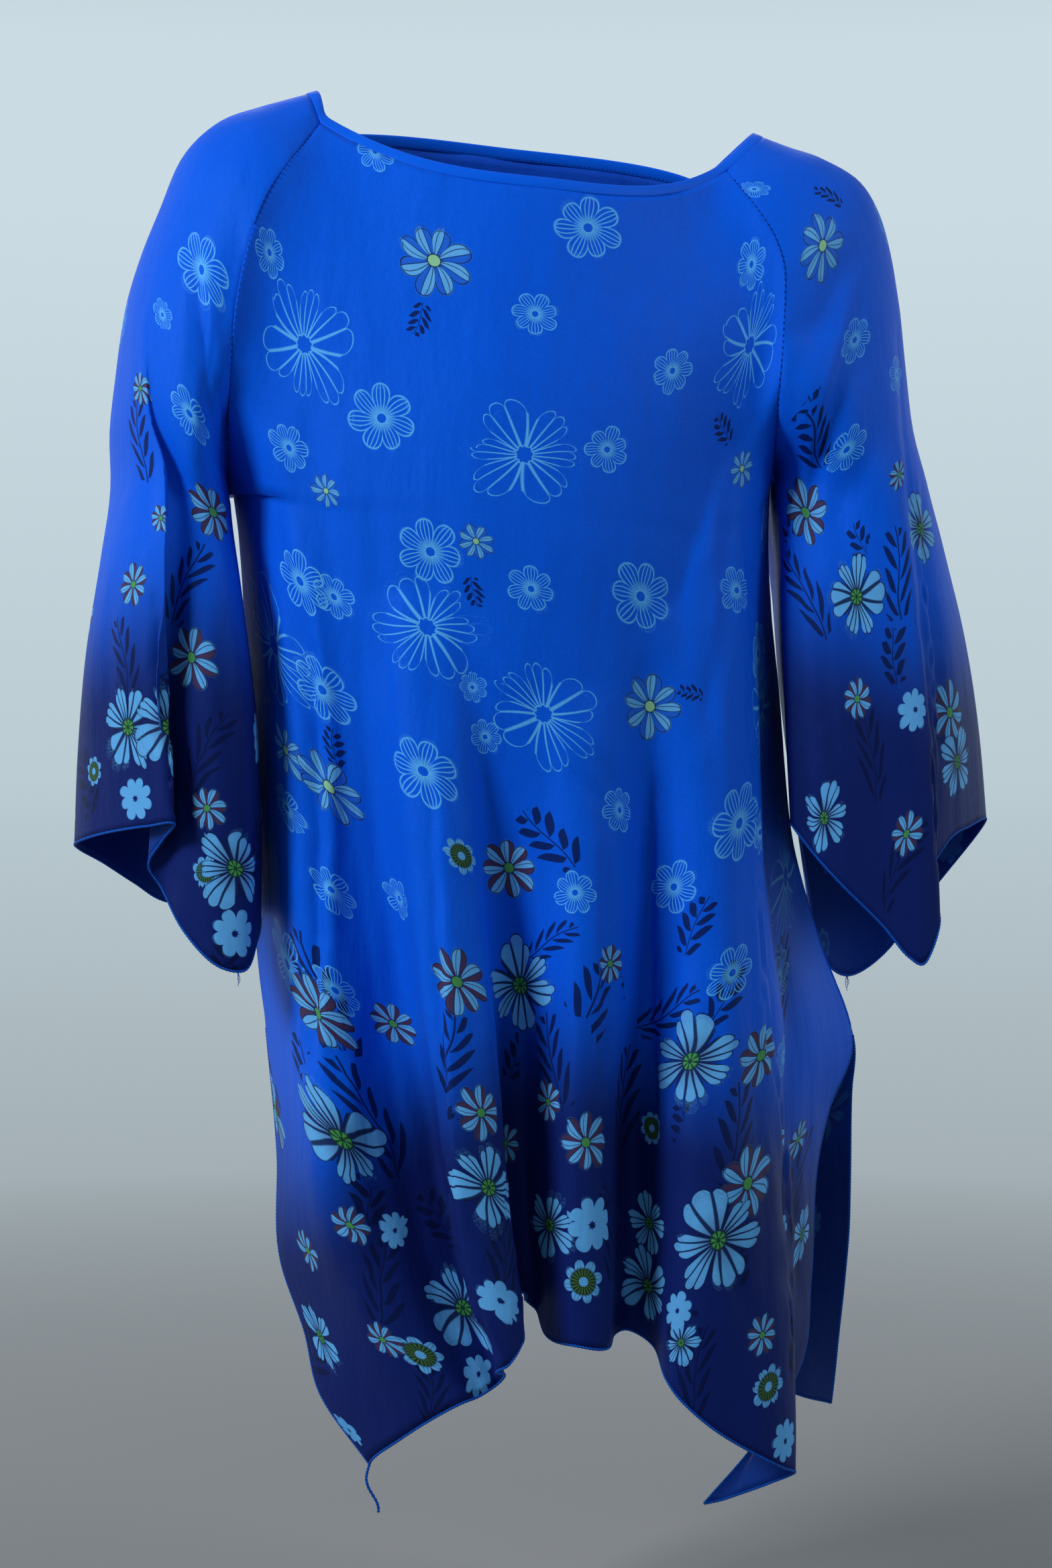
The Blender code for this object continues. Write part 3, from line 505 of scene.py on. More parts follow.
# The back's creases and fold edges, in the same columns, as the front view would show them
BACK_CREASES = (
    (-120, -150, -60, -205, 8, 12, 1.8), (118, -150, 70, -215, -9, 12, 1.9),
    (-130, -230, -104, -360, 8, 9, 2.1), (126, -235, 112, -380, -6, 9, 2.0),
    (-64, -300, -58, -470, 5, 10, 1.8), (24, -280, 30, -440, -4, 11, 1.6),
    (70, -340, 84, -500, 6, 8, 1.9), (-100, -500, -92, -660, 4, 7, 1.6),
    (100, -520, 116, -690, -5, 8, 1.7), (-20, -560, -14, -690, 3, 7, 1.4),
    (148, -420, 158, -560, 4, 6, 1.5), (-150, -400, -148, -530, -3, 6, 1.4),
)
BACK_FOLD_EDGES = (
    (11, 3.6, 1, ((-96, -330), (-90, -480), (-84, -640), (-82, -780))),
    (10, 3.2, -1, ((32, -360), (30, -520), (30, -700))),
    (10, 3.8, 1, ((104, -300), (112, -470), (122, -640), (130, -780))),
)

# Printed motifs: flowers drawn in line, large flowers in line, striped, burgundy, large filled,
# plain daisies, daisies with a ring, leaf sprigs and branches of long leaves. Each is given by its
# across and height in the front view, its radius in millimetres and its turn in degrees
KINDS = ("line", "large_line", "striped", "burgundy", "large", "daisy", "ring", "sprig", "branch")
LEAVES = ("sprig", "branch")
MOTIFS = (
    ("line", ((36, -78, 26, 17), (2, -137, 17, 34), (95, -172, 17, 51), (-103, -208, 24, 8),
              (50, -225, 17, 25), (144, -102, 16, 42), (-177, -97, 16, 59), (-224, -107, 25, 16),
              (-249, -137, 11, 33), (-232, -205, 17, 50), (217, -150, 17, 7), (247, -173, 15, 24),
              (210, -227, 17, 41), (-69, -294, 23, 58), (-3, -320, 17, 15), (71, -326, 26, 32),
              (136, -320, 17, 49), (-32, -420, 13, 6), (-40, -386, 11, 23), (-74, -444, 25, 40),
              (155, -362, 23, 57), (63, -470, 17, 14), (142, -475, 26, 31), (157, -483, 16, 48),
              (29, -523, 16, 5), (94, -519, 19, 22), (134, -577, 19, 39), (173, -633, 16, 56),
              (-134, -520, 16, 13), (-134, -589, 16, 30), (-171, -573, 23, 47), (-95, -531, 15, 4),
              (-158, -315, 21, 21), (-134, -326, 16, 38), (-145, -389, 23, 55))),
    ("large_line", ((-156, -157, 43, 31), (-6, -229, 43, 2), (144, -157, 43, 33), (-71, -344, 43, 4),
                    (8, -403, 43, 35), (157, -399, 43, 6), (-179, -357, 43, 37), (173, -515, 39, 8))),
    ("striped", ((193, -89, 24, 23), (-141, -255, 12, 46), (142, -241, 13, 9), (-39, -291, 13, 32),
                 (78, -402, 24, 55), (-171, -431, 16, 18), (-137, -452, 22, 41))),
    ("burgundy", ((-16, -507, 22, 41), (-50, -586, 24, 22), (52, -573, 15, 3), (155, -631, 23, 44),
                  (-95, -610, 15, 25), (-150, -604, 22, 6), (34, -691, 21, 47), (147, -720, 28, 28),
                  (-32, -673, 20, 9), (-124, -749, 15, 50), (-156, -767, 16, 31), (-213, -268, 22, 12),
                  (-229, -368, 24, 53), (-271, -318, 16, 34), (-221, -470, 16, 15), (-269, -189, 13, 56),
                  (181, -270, 24, 37), (247, -244, 12, 18), (218, -394, 16, 59), (284, -402, 23, 40),
                  (250, -486, 16, 21))),
    ("large", ((-9, -586, 35, 13), (102, -638, 36, 26), (-129, -688, 35, 39), (-31, -723, 35, 52),
               (123, -760, 40, 5), (-48, -803, 35, 18), (76, -788, 28, 31), (5, -746, 28, 44),
               (-148, -820, 25, 57), (-274, -415, 34, 10), (-240, -415, 34, 23), (-199, -508, 33, 36),
               (216, -327, 34, 49), (194, -473, 28, 2), (289, -436, 28, 15), (265, -278, 28, 28))),
    ("daisy", ((39, -746, 20, 29), (-90, -749, 13, 58), (-19, -799, 16, 27), (-35, -849, 14, 56),
               (-124, -888, 13, 25), (172, -893, 15, 54), (-270, -462, 16, 23), (-200, -552, 18, 52),
               (255, -402, 16, 21))),
    ("ring", ((-46, -502, 13, 11), (76, -683, 12, 22), (34, -788, 15, 33), (-74, -836, 15, 44),
              (159, -857, 15, 55), (-221, -512, 12, 6), (-299, -444, 11, 17))),
    ("sprig", ((11, -487, 26, -42), (58, -604, 28, 15), (-121, -636, 28, -20), (184, -214, 26, 8),
               (-227, -315, 25, -30), (129, -591, 22, 20), (15, -554, 18, 190), (110, -546, 20, 15),
               (152, -683, 25, 5), (100, -683, 20, -25), (-58, -657, 22, 160), (-11, -633, 20, 25),
               (-90, -799, 22, -15), (181, -767, 22, 30), (173, -573, 22, -10), (-153, -652, 28, 12),
               (-248, -378, 22, -20), (221, -294, 20, 8), (130, -214, 14, -35), (199, -57, 12, 12),
               (105, -389, 10, -70), (-133, -427, 13, 15), (173, -294, 22, 10), (242, -362, 22, -15),
               (94, -820, 22, 30), (-106, -725, 25, -5))),
    ("branch", ((-145, -599, 42, 10), (36, -606, 40, 12), (8, -640, 34, -15), (62, -668, 40, 8),
                (88, -606, 30, 62), (136, -690, 40, -12), (-105, -676, 40, -8), (-60, -634, 34, 22),
                (170, -592, 30, 15), (180, -716, 34, 20), (-234, -315, 34, 12), (-269, -222, 32, 5),
                (-217, -431, 32, 8), (189, -222, 30, 18), (180, -326, 36, 15), (244, -308, 32, -10),
                (226, -428, 36, -12), (-20, -770, 34, 10), (40, -850, 34, -14), (-100, -790, 36, 14),
                (110, -850, 36, 8), (-70, -860, 30, -10), (-277, -370, 32, -8))),
    ("striped", ((-66, -99, 28, 20),)),
    ("sprig", ((-77, -139, 13, 195),)),
    ("line", ((-106, -24, 15, 12), (-166, -229, 16, 33), (147, -50, 9, 20))),
    ("burgundy", ((5, -665, 16, 14), (180, -689, 14, 8))),
    ("large", ((184, -757, 20, 33), (77, -746, 22, 12))),
    ("burgundy", ((-103, -822, 14, 30), (158, -820, 15, 17))),
    ("large", ((100, -826, 17, 3),)),
    ("burgundy", ((-251, -273, 12, 22),)),
    ("line", ((-171, -468, 14, 8),)),
    ("sprig", ((-41, -322, 11, 178),)),
    ("branch", ((10, -560, 24, 60),)),
    ("daisy", ((96, -806, 14, 18),)),
)

# Radii of scattered motifs in metres, the least gap between them, and what is printed where: the kinds
# for each depth of dye, up to a limit
KIND_RADII = {"line": (0.013, 0.024), "large_line": (0.033, 0.039), "striped": (0.012, 0.022),
              "burgundy": (0.013, 0.021), "large": (0.026, 0.034), "daisy": (0.012, 0.017),
              "ring": (0.011, 0.014), "sprig": (0.018, 0.026), "branch": (0.028, 0.042),
              "none": (0.02, 0.03)}
MOTIF_GAP = (0.020, 0.007)
SCATTER = ((0.15, ("line", "line", "line", "large_line", "line", "striped")),
           (0.6, ("line", "burgundy", "burgundy", "large", "striped", "ring")),
           (1.01, ("large", "burgundy", "daisy", "ring", "large", "burgundy", "daisy")))
LEAF_SCATTER = ((0.06, ("none",)), (1.01, ("branch", "sprig", "branch")))
PRINT_SEED = 7
FLOWER_TRIES = 1500
LEAF_TRIES = 1000

# Heights where the ground is half navy and half the height of its change, in the middle and at the sides
BODY_DYE = (-0.615, 0.054)
BODY_DYE_SIDE = (-0.690, 0.070)
DYE_REACH = 0.17
SLEEVE_DYE = (-0.356, 0.060)

# Waves in the dye's edge: their height and how far they reach along x and y
DYE_WAVE = (0.012, 0.031, 0.043)

# Colours, in linear light
ROYAL = (0.0010, 0.090, 0.72)
ROYAL_LIGHT = (0.0020, 0.122, 0.80)
NAVY = (0.0050, 0.0125, 0.120)
PALE_LINE = (0.10, 0.44, 0.88)
PALE_FILL = (0.10, 0.37, 0.76)
BURGUNDY = (0.050, 0.010, 0.040)
STRIPE_BLUE = (0.002, 0.080, 0.60)
DARK_LINE = (0.005, 0.008, 0.06)
GREEN = (0.01, 0.055, 0.02)
OLIVE = (0.055, 0.14, 0.03)
DARK_GREEN = (0.012, 0.03, 0.02)
PALE_GREEN = (0.06, 0.27, 0.07)
HUB = (0.24, 0.52, 0.30)
LEAF = (0.003, 0.007, 0.065)
LEAF_DEEP = (0.003, 0.006, 0.050)
REVERSE = (0.006, 0.055, 0.46)
REVERSE_DEEP = (0.008, 0.038, 0.27)
THREAD = (0.005, 0.095, 0.55)
STITCH = (0.004, 0.018, 0.20)
GLOSS = (0.12, 0.40, 1.0, 1)
SHEEN = (0.25, 0.5, 1.0, 1)

# Surfaces
JERSEY_SURFACE = {"Roughness": 0.5, "Specular IOR Level": 0.2, "Specular Tint": GLOSS,
                  "Sheen Weight": 0.03, "Sheen Roughness": 0.45}
THREAD_SURFACE = {"Roughness": 0.5, "Specular IOR Level": 0.2, "Specular Tint": GLOSS,
                  "Sheen Weight": 0.05, "Sheen Tint": SHEEN}

# Shapes of the printed motifs, as shares of their radius
LAYERS = ("leaf", "flower", "second")
PETAL_MIDDLE = 0.56
PETAL_HALF = 0.44
PETAL_WIDTH = 2.5
PETAL_GAP = 0.14
LARGE_PETALS = 6
LOBES = 3
LINE = 0.024
LEAF_STEP = 0.46

# Print raster and knit, as turns to a metre of cloth
RASTER = 2 * math.pi / 0.0019
KNIT = 2 * math.pi / 0.0008

# Noises, each by its scale, its detail and, for the wrinkles, how far it is drawn out downwards
PATCHES = (5.0, 3)
GRAIN = (420.0, 2)
WRINKLES = (30.0, 4, 4.0)
FIBRES = (900.0, 2)
BINDING_PATCHES = (30.0, 3)
BINDING_FIBRES = (1100.0, 2)

# Heights of the bumps, in metres
WRINKLE_HEIGHT = 0.006
KNIT_HEIGHT = 0.0002
TWIST_HEIGHT = 0.0003

# Sewing; a stitch is given by its spacing, length and radius
SEAM_STITCH = (0.0042, 0.0020, 0.00028)
TOPSTITCH = (0.0031, 0.0026, 0.0002)
OVERLOCK_RADIUS = 0.0009
OVERLOCK_STEP = 0.0011
OVERLOCK_SIDES = 6
THREAD_TWIST = 0.0016
STITCH_TWIST = 0.0012
FINE_THREAD = 0.00022
BINDING_STEPS = 12
TOPSTITCH_UP = 0.0012

# How many times the way out of the cloth round the neckline is smoothed
NECK_SMOOTHING = 60

# Studio
SENSOR = 36.0
PHOTO_ROWS = 2338
PIXEL = 0.00045
FLOOR_HEIGHT = -1.06
FLOOR_RADIUS = 2.6
FLOOR_SURFACE = {"Base Color": (0.27, 0.28, 0.29, 1), "Roughness": 0.9, "Specular IOR Level": 0.1}
FLOOR_FADE = (0.5, 2.4)
LOW_WALL = (0.22, 0.235, 0.245)
HORIZON = (0.49, 0.59, 0.64)
SKY = (0.60, 0.71, 0.77)
DOME = (0.20, 0.22, 0.24)
FRONT_STRENGTH = 0.5

# Soft lights: name, place, size and power, all aimed at one place
LIT_PLACE = (0.0, 0.0, -0.42)
LIGHTS = (
    ("key", (-2.1, -1.1, 1.0), 0.7, 60),
    ("fill", (2.0, -1.2, 1.1), 0.9, 20),
    ("rear", (0.4, 2.2, 1.0), 1.4, 16),
)


def fine(keys, parts):
    """Keys with each step between two cut into equal parts."""
    cuts = [np.linspace(a, b, parts, endpoint=False) for a, b in zip(keys[:-1], keys[1:])]
    return np.concatenate(cuts + [keys[-1:]])


def with_seam_columns(shares):
    """Shares with extra ones close beside each end, where the cloth dips into its seam."""
    inside = shares[(shares > -1 + BESIDE_SEAM[-1] * 1.3) & (shares < 1 - BESIDE_SEAM[-1] * 1.3)]
    beside = np.array(BESIDE_SEAM)
    return np.concatenate([[-1.0], -1 + beside, inside, 1 - beside[::-1], [1.0]])


def arm_rows():
    """Shares of the way to the underarm."""
    return np.linspace(0, 1, ARM_STEPS + 1)


def panel_rows():
    """Shares of a panel's length for its rows, with rows at the underarm and the top of the vent."""
    steps = np.concatenate([np.linspace(0, VENT_TOP, SIDE_STEPS + 1)[1:],
                            np.linspace(VENT_TOP, 1, VENT_STEPS + 1)[1:]])
    return np.concatenate([UNDERARM_DOWN * arm_rows(), UNDERARM_DOWN + (1 - UNDERARM_DOWN) * steps])


def sleeve_rows():
    """Shares of a sleeve's length for its rows, which meet the panels' rows down to the underarm."""
    lower = np.linspace(UNDERARM_ALONG, 1, CUFF_STEPS + 1)[1:]
    return np.concatenate([UNDERARM_ALONG * arm_rows(), lower])


def panel_grid(panel, parts):
    """A panel's points in rows and columns."""
    shares = with_seam_columns(fine(fold_shares(panel), parts))
    return panel_points(panel, panel_rows()[:, None], shares[None, :])


def sleeve_grid(table, cuff, parts):
    """A sleeve's points in rows and columns, from the back seam round the outside to the front one."""
    turns = column(cuff, CUFF_COLUMNS, "turn") / 180
    inside = turns[np.abs(turns) < 0.96]
    shares = with_seam_columns(fine(np.concatenate([[-1.0], inside, [1.0]]), parts))
    return sleeve_points(table, cuff, sleeve_rows()[:, None], shares[None, :])


def unit(vectors):
    """Vectors at length one."""
    return vectors / np.maximum(np.linalg.norm(vectors, axis=-1, keepdims=True), 1e-12)


def grid_normals(points, outward):
    """Normals of a grid; outward is 1 or -1."""
    down = np.gradient(points, axis=0)
    along = np.gradient(points, axis=1)
    return unit(np.cross(down, along)) * outward


def flat_places(points):
    """Where each point lies in the flat cloth: across from the middle column and down from the top."""
    steps = np.linalg.norm(np.diff(points, axis=1), axis=-1)
    across = np.concatenate([np.zeros((len(points), 1)), np.cumsum(steps, axis=1)], axis=1)
    across -= across[:, points.shape[1] // 2][:, None]
    drops = np.linalg.norm(np.diff(points, axis=0), axis=-1)
    drops = np.sqrt(np.maximum(drops**2 - np.diff(across, axis=0) ** 2, (drops * 0.4) ** 2))
    down = np.concatenate([np.zeros((1, points.shape[1])), np.cumsum(drops, axis=0)])
    return np.stack([across, down], axis=-1)


def in_view(points):
    """Points as the front view shows them, across and up, and how far each is away."""
    away = math.sin(VIEW_TURN) * points[..., 0] + math.cos(VIEW_TURN) * points[..., 1]
    side = math.cos(VIEW_TURN) * points[..., 0] - math.sin(VIEW_TURN) * points[..., 1]
    nearer = 1 + away / VIEW_DISTANCE
    across = VIEW_ACROSS + (side - VIEW_ACROSS) / nearer
    return np.stack([across, VIEW_HEIGHT + (points[..., 2] - VIEW_HEIGHT) / nearer, away], axis=-1)


def bow_line(start, end, bow, count=9):
    """Points of a shallow arc between two places, its middle moved by bow to the right of its way."""
    t = np.linspace(0, 1, count)[:, None]
    way = end - start
    right = np.array([-way[1], way[0]]) / max(np.linalg.norm(way), 1e-9)
    return start + way * t - right * bow * 4 * t * (1 - t)


def surface_at(places, view, far):
    """Rows and columns of the grid points that the front view shows at places; far takes the rear layer."""
    found = []
    for place in places:
        gap = np.hypot(view[..., 0] - place[0], view[..., 1] - place[1])
        near = gap < gap.min() + 0.004
        depth = np.where(near, view[..., 2] * (-1 if far else 1), FAR)
        found.append(np.unravel_index(np.argmin(depth + gap), gap.shape))
    return found


def crease(points, normals, table, far=False):
    """Presses the creases of a table into a piece."""
    view = in_view(points)
    change = np.zeros(points.shape[:2])
    for row in table:
        across, height, end_across, end_height, bow, width, depth = (v / 1000 for v in row)
        line = bow_line(np.array([across, height]), np.array([end_across, end_height]), bow)
        gap, along, _ = route_gap(points, view, line, far)
        taper = np.sin(np.pi * np.clip(along * 0.9 + 0.05, 0, 1)) ** 0.8
        change -= depth * taper * np.exp(-((gap / width) ** 2))
    return points + normals * smooth(change, 2)[..., None]


def turn_under(points, normals, table, far=False):
    """Presses fold edges into a piece: a steep step down beside each, out to a soft trough."""
    view = in_view(points)
    change = np.zeros(points.shape[:2])
    for width, depth, side, places in table:
        places = np.array(places) / 1000
        keys = np.arange(len(places))
        line = curve(keys, places, np.linspace(0, len(places) - 1, 8 * len(places)))
        gap, along, right = route_gap(points, view, line, far)
        signed = gap * np.where(right, side, -side) * 1000
        under = (1 + np.tanh(signed / EDGE_STEP)) / 2
        trough = under * np.exp(-((signed / width) ** 2))
        ridge = (1 - under) * EDGE_RIDGE * np.exp(-((signed / width / 0.7) ** 2))
        taper = np.clip(along / 0.35, 0, 1) * np.clip((1 - along) / 0.12, 0, 1) ** 0.5
        change -= depth / 1000 * taper * (trough - ridge)
    return points + normals * smooth(change, 1)[..., None]


def route_gap(points, view, line, far):
    """How far each point lies from a line of the front view, how far along it, and whether to its right."""
    route = np.array([points[place] for place in surface_at(line, view, far)])
    best = np.full(points.shape[:-1], FAR)
    along = np.zeros(best.shape)
    right = np.zeros(best.shape, bool)
    for number, (a, b) in enumerate(zip(route[:-1], route[1:])):
        way = b - a
        t = np.clip(((points - a) @ way) / max(way @ way, 1e-12), 0, 1)
        gap = np.linalg.norm(points - a - t[..., None] * way, axis=-1)
        nearer = gap < best
        ahead = line[number + 1] - line[number]
        beside = (view[..., :2] - line[number]) @ np.array([-ahead[1], ahead[0]])
        best = np.where(nearer, gap, best)
        along = np.where(nearer, (number + t) / (len(route) - 1), along)
        right = np.where(nearer, beside > 0, right)
    return best, along, right


def smooth(values, times):
    """Values of a grid averaged with their neighbours, ends kept."""
    for _ in range(times):
        padded = np.pad(values, 1, mode="edge")
        around = padded[:-2, 1:-1] + padded[2:, 1:-1] + padded[1:-1, :-2] + padded[1:-1, 2:]
        values = around / 8 + values / 2
    return values


def ripples(points, normals, seed):
    """Very low uneven waves, as hanging jersey has."""
    random = np.random.default_rng(seed)
    change = np.zeros(points.shape[:2])
    for _ in range(RIPPLES):
        length = random.uniform(0.05, 0.14)
        way = unit(np.array([random.normal(), random.normal() * 0.6, random.normal() * 0.35]))
        warp = 0.02 * np.sin(points[..., 2] / 0.09 + random.uniform(0, 6))
        change += np.sin((points @ way + warp) * 2 * np.pi / length + random.uniform(0, 6)) / RIPPLES
    return points + normals * (RIPPLE_HEIGHT * change)[..., None]


def pull_seams(points, normals):
    """Sinks the columns at and beside the seams a little, as stitching does."""
    for side, share in ((0, 1), (1, 0.45), (-1, 1), (-2, 0.45)):
        points[:, side] -= normals[:, side] * SEAM_DEPTH * share
    return points


def note_seen(pieces):
    """Notes which grid points of each piece the front view shows, from a coarse map of depths."""
    nearest = {}
    for piece in pieces:
        view = piece["view"].reshape(-1, 3)
        for a, b, away in zip(*(view[:, :2] // SEEN_CELL).T.astype(int), view[:, 2]):
            nearest[a, b] = min(nearest.get((a, b), FAR), away)
    for piece in pieces:
        cells = (piece["view"][..., :2] // SEEN_CELL).astype(int)
        front = np.array([[nearest[tuple(c)] for c in row] for row in cells])
        piece["seen"] = piece["view"][..., 2] < front + SEEN_DEPTH


def depth_of_dye(points, sleeve):
    """How far the ground has turned from royal blue to navy: 0 above and 1 at the hems."""
    if sleeve:
        middle, half = SLEEVE_DYE
    else:
        share = np.clip(np.abs(points[..., 0]) / DYE_REACH, 0, 1) ** 2
        middle = BODY_DYE[0] + (BODY_DYE_SIDE[0] - BODY_DYE[0]) * share
        half = BODY_DYE[1] + (BODY_DYE_SIDE[1] - BODY_DYE[1]) * share
    height, across, deep = DYE_WAVE
    wave = height * np.sin(points[..., 0] / across) * np.sin(points[..., 1] / deep + 1)
    t = np.clip((middle + wave + half - points[..., 2]) / (2 * half), 0, 1)
    return t * t * (3 - 2 * t)


def add_motif(piece, place, kind, radius, turn, seed):
    """Notes one printed motif at a grid point of a piece."""
    piece["motifs"].append({"place": place, "kind": kind, "radius": radius, "turn": math.radians(turn),
                            "seed": seed, "point": piece["points"][place]})


def place_seen_motifs(pieces, random):
    """Puts the motifs of the table where the front view shows them."""
    for kind, across, height, radius, turn in [(kind, *row) for kind, rows in MOTIFS for row in rows]:
        best = None
        for piece in pieces:
            view = piece["view"]
            gap = np.hypot(view[..., 0] - across / 1000, view[..., 1] - height / 1000)
            depth = np.where(gap < SEEN_CELL, view[..., 2] + gap, FAR)
            place = np.unravel_index(np.argmin(depth), depth.shape)
            if depth[place] < FAR and (best is None or depth[place] < best[0]):
                best = (depth[place], piece, place)
        if best is not None:
            real = radius / 1000 * (1 + best[0] / VIEW_DISTANCE)
            add_motif(best[1], best[2], kind, real, turn, random.uniform(0.1, 0.9))


def scatter_motifs(piece, random, tries, choices, hidden_only):
    """Fills the parts of a piece that have no motifs with ones of like kinds, sizes and spacing."""
    rows, columns = piece["points"].shape[:2]
    for _ in range(tries):
        place = (random.integers(2, rows - 2), random.integers(2, columns - 2))
        deep = piece["dye"][place]
        kinds = next(names for limit, names in choices if deep <= limit)
        kind = kinds[random.integers(len(kinds))]
        radius = random.uniform(*KIND_RADII[kind])
        turn, seed = random.uniform(0, 360), random.uniform(0.1, 0.9)
        if kind == "none" or (hidden_only and piece["seen"][place]):
            continue
        point = piece["points"][place]
        same = [m for m in piece["motifs"] if (m["kind"] in LEAVES) == (kind in LEAVES)]
        apart = radius + MOTIF_GAP[0] * (1 - deep) + MOTIF_GAP[1] * deep
        if all(np.linalg.norm(m["point"] - point) > m["radius"] + apart for m in same):
            if kind in LEAVES:
                turn = random.normal(0, 24)
            add_motif(piece, place, kind, radius, turn, seed)


def corners_of(grid):
    """A grid's values at the four corners of each of its faces."""
    return np.stack([grid[:-1, :-1], grid[1:, :-1], grid[1:, 1:], grid[:-1, 1:]], axis=2)


def print_layers(piece):
    """Corner values of the print: place within its motif, across and up, and the motif's kind and seed."""
    flat = piece["flat"]
    corners = corners_of(flat)
    middle = corners.mean(axis=2)
    face_middles = corners_of(piece["points"]).mean(axis=2)
    layers = {name: np.zeros(corners.shape[:3] + (3,)) for name in LAYERS}
    for motif in piece["motifs"]:
        centre = flat[motif["place"]]
        reach = np.linalg.norm(middle - centre, axis=-1)
        near = np.linalg.norm(face_middles - motif["point"], axis=-1) < motif["radius"] * 1.6
        inside = (reach < motif["radius"] * 1.1) & near
        names = LAYERS[:1] if motif["kind"] in LEAVES else LAYERS[1:]
        layer = layers[names[0]]
        if (layer[inside][..., 2] > 0).any() and len(names) > 1:
            layer = layers[names[1]]
        local = (corners[inside] - centre) / motif["radius"]
        cos, sin = math.cos(motif["turn"]), math.sin(motif["turn"])
        x, y = local[..., 0], -local[..., 1]
        code = KINDS.index(motif["kind"]) + 1 + motif["seed"]
        layer[inside] = np.stack([cos * x - sin * y, sin * x + cos * y, np.full(x.shape, code)], axis=-1)
    return layers


def turned(corners, piece):
    """Corner values in the order that makes a piece's faces look outward."""
    return corners[:, ::-1] if piece["flip"] else corners


def placed(name, data):
    """A new object in the scene."""
    made = bpy.data.objects.new(name, data)
    bpy.context.scene.collection.objects.link(made)
    return made


def cloth_piece(piece, name, material, reverse):
    """The shell of a cloth piece with its print's values, from its grid."""
    points = piece["points"]
    rows, columns = points.shape[:2]
    numbers = np.arange(rows * columns).reshape(rows, columns)
    if piece["sleeve"]:
        numbers[ARM_STEPS:, -1] = numbers[ARM_STEPS:, 0]
    faces = turned(corners_of(numbers).reshape(-1, 4), piece)
    used = np.unique(faces)
    renumber = np.zeros(rows * columns, int)
    renumber[used] = np.arange(len(used))
    mesh = bpy.data.meshes.new(name)
    mesh.from_pydata(points.reshape(-1, 3)[used].tolist(), [], renumber[faces].tolist())
    flat = np.pad(corners_of(piece["flat"]), ((0, 0), (0, 0), (0, 0), (0, 1)))
    for layer, values in {**print_layers(piece), "flat": flat}.items():
        values = turned(values.reshape(-1, 4, 3), piece)
        mesh.attributes.new(layer, "FLOAT_VECTOR", "CORNER").data.foreach_set("vector", values.ravel())
    dye = mesh.attributes.new("dye", "FLOAT", "POINT")
    dye.data.foreach_set("value", piece["dye"].reshape(-1)[used])
    mesh.materials.append(material)
    mesh.materials.append(reverse)
    mesh.shade_smooth()
    shell = placed(name, mesh)
    wall = shell.modifiers.new("jersey", "SOLIDIFY")
    wall.thickness = JERSEY
    wall.offset = 0
    wall.use_rim = True
    wall.material_offset = 1
    return shell


class Term:
    """A number in a material's nodes; arithmetic on it adds math nodes."""

    def __init__(self, tree, socket):
        self.tree = tree
        self.socket = socket

    def join(self, operation, *others, clamp=False):
        """The result of a math operation on this number and others."""
        node = self.tree.nodes.new("ShaderNodeMath")
        node.operation = operation
        node.use_clamp = clamp
        for place, value in enumerate((self, *others)):
            if isinstance(value, Term):
                self.tree.links.new(value.socket, node.inputs[place])
            else:
                node.inputs[place].default_value = value
        return Term(self.tree, node.outputs[0])

    def __add__(self, other):
        return self.join("ADD", other)

    def __sub__(self, other):
        return self.join("SUBTRACT", other)

    def __mul__(self, other):
        return self.join("MULTIPLY", other)

    def __truediv__(self, other):
        return self.join("DIVIDE", other)

    def under(self, limit, soft=0.012):
        """1 where this is under a limit and 0 above it, with a soft step between."""
        step = (self - limit) if isinstance(limit, Term) else self.join("SUBTRACT", limit)
        return (step * (-1 / soft)).join("ADD", 0.5, clamp=True)

    def over(self, limit, soft=0.012):
        """1 where this is over a limit and 0 below it."""
        return self.under(limit, soft).flipped()

    def flipped(self):
        """One minus this."""
        return (self * -1).join("ADD", 1.0, clamp=True)

    def equals(self, number):
        """1 where this whole number has a value."""
        return self.join("COMPARE", number, 0.5)

    def size(self):
        """This without its sign."""
        return self.join("ABSOLUTE")

    def either(self, other):
        """The larger of two."""
        return self.join("MAXIMUM", other)

    def both(self, other):
        """The smaller of two."""
        return self.join("MINIMUM", other)


def attribute(tree, name):
    """A mesh attribute's node."""
    node = tree.nodes.new("ShaderNodeAttribute")
    node.attribute_name = name
    return node


def parts(tree, socket):
    """The three numbers of a vector."""
    node = tree.nodes.new("ShaderNodeSeparateXYZ")
    tree.links.new(socket, node.inputs[0])
    return [Term(tree, output) for output in node.outputs]


def random_of(tree, number):
    """A random number for each value of a whole number."""
    node = tree.nodes.new("ShaderNodeTexWhiteNoise")
    node.noise_dimensions = "1D"
    tree.links.new(number.socket, node.inputs["W"])
    return Term(tree, node.outputs["Value"])


def laid_over(tree, ground, colour, share):
    """A colour laid over another by a share; both are sockets or fixed colours."""
    node = tree.nodes.new("ShaderNodeMix")
    node.data_type = "RGBA"
    if isinstance(share, Term):
        tree.links.new(share.socket, node.inputs[0])
    else:
        node.inputs[0].default_value = share
    for place, value in ((6, ground), (7, colour)):
        if isinstance(value, tuple):
            node.inputs[place].default_value = (*value, 1)
        else:
            tree.links.new(value, node.inputs[place])
    return node.outputs[2]


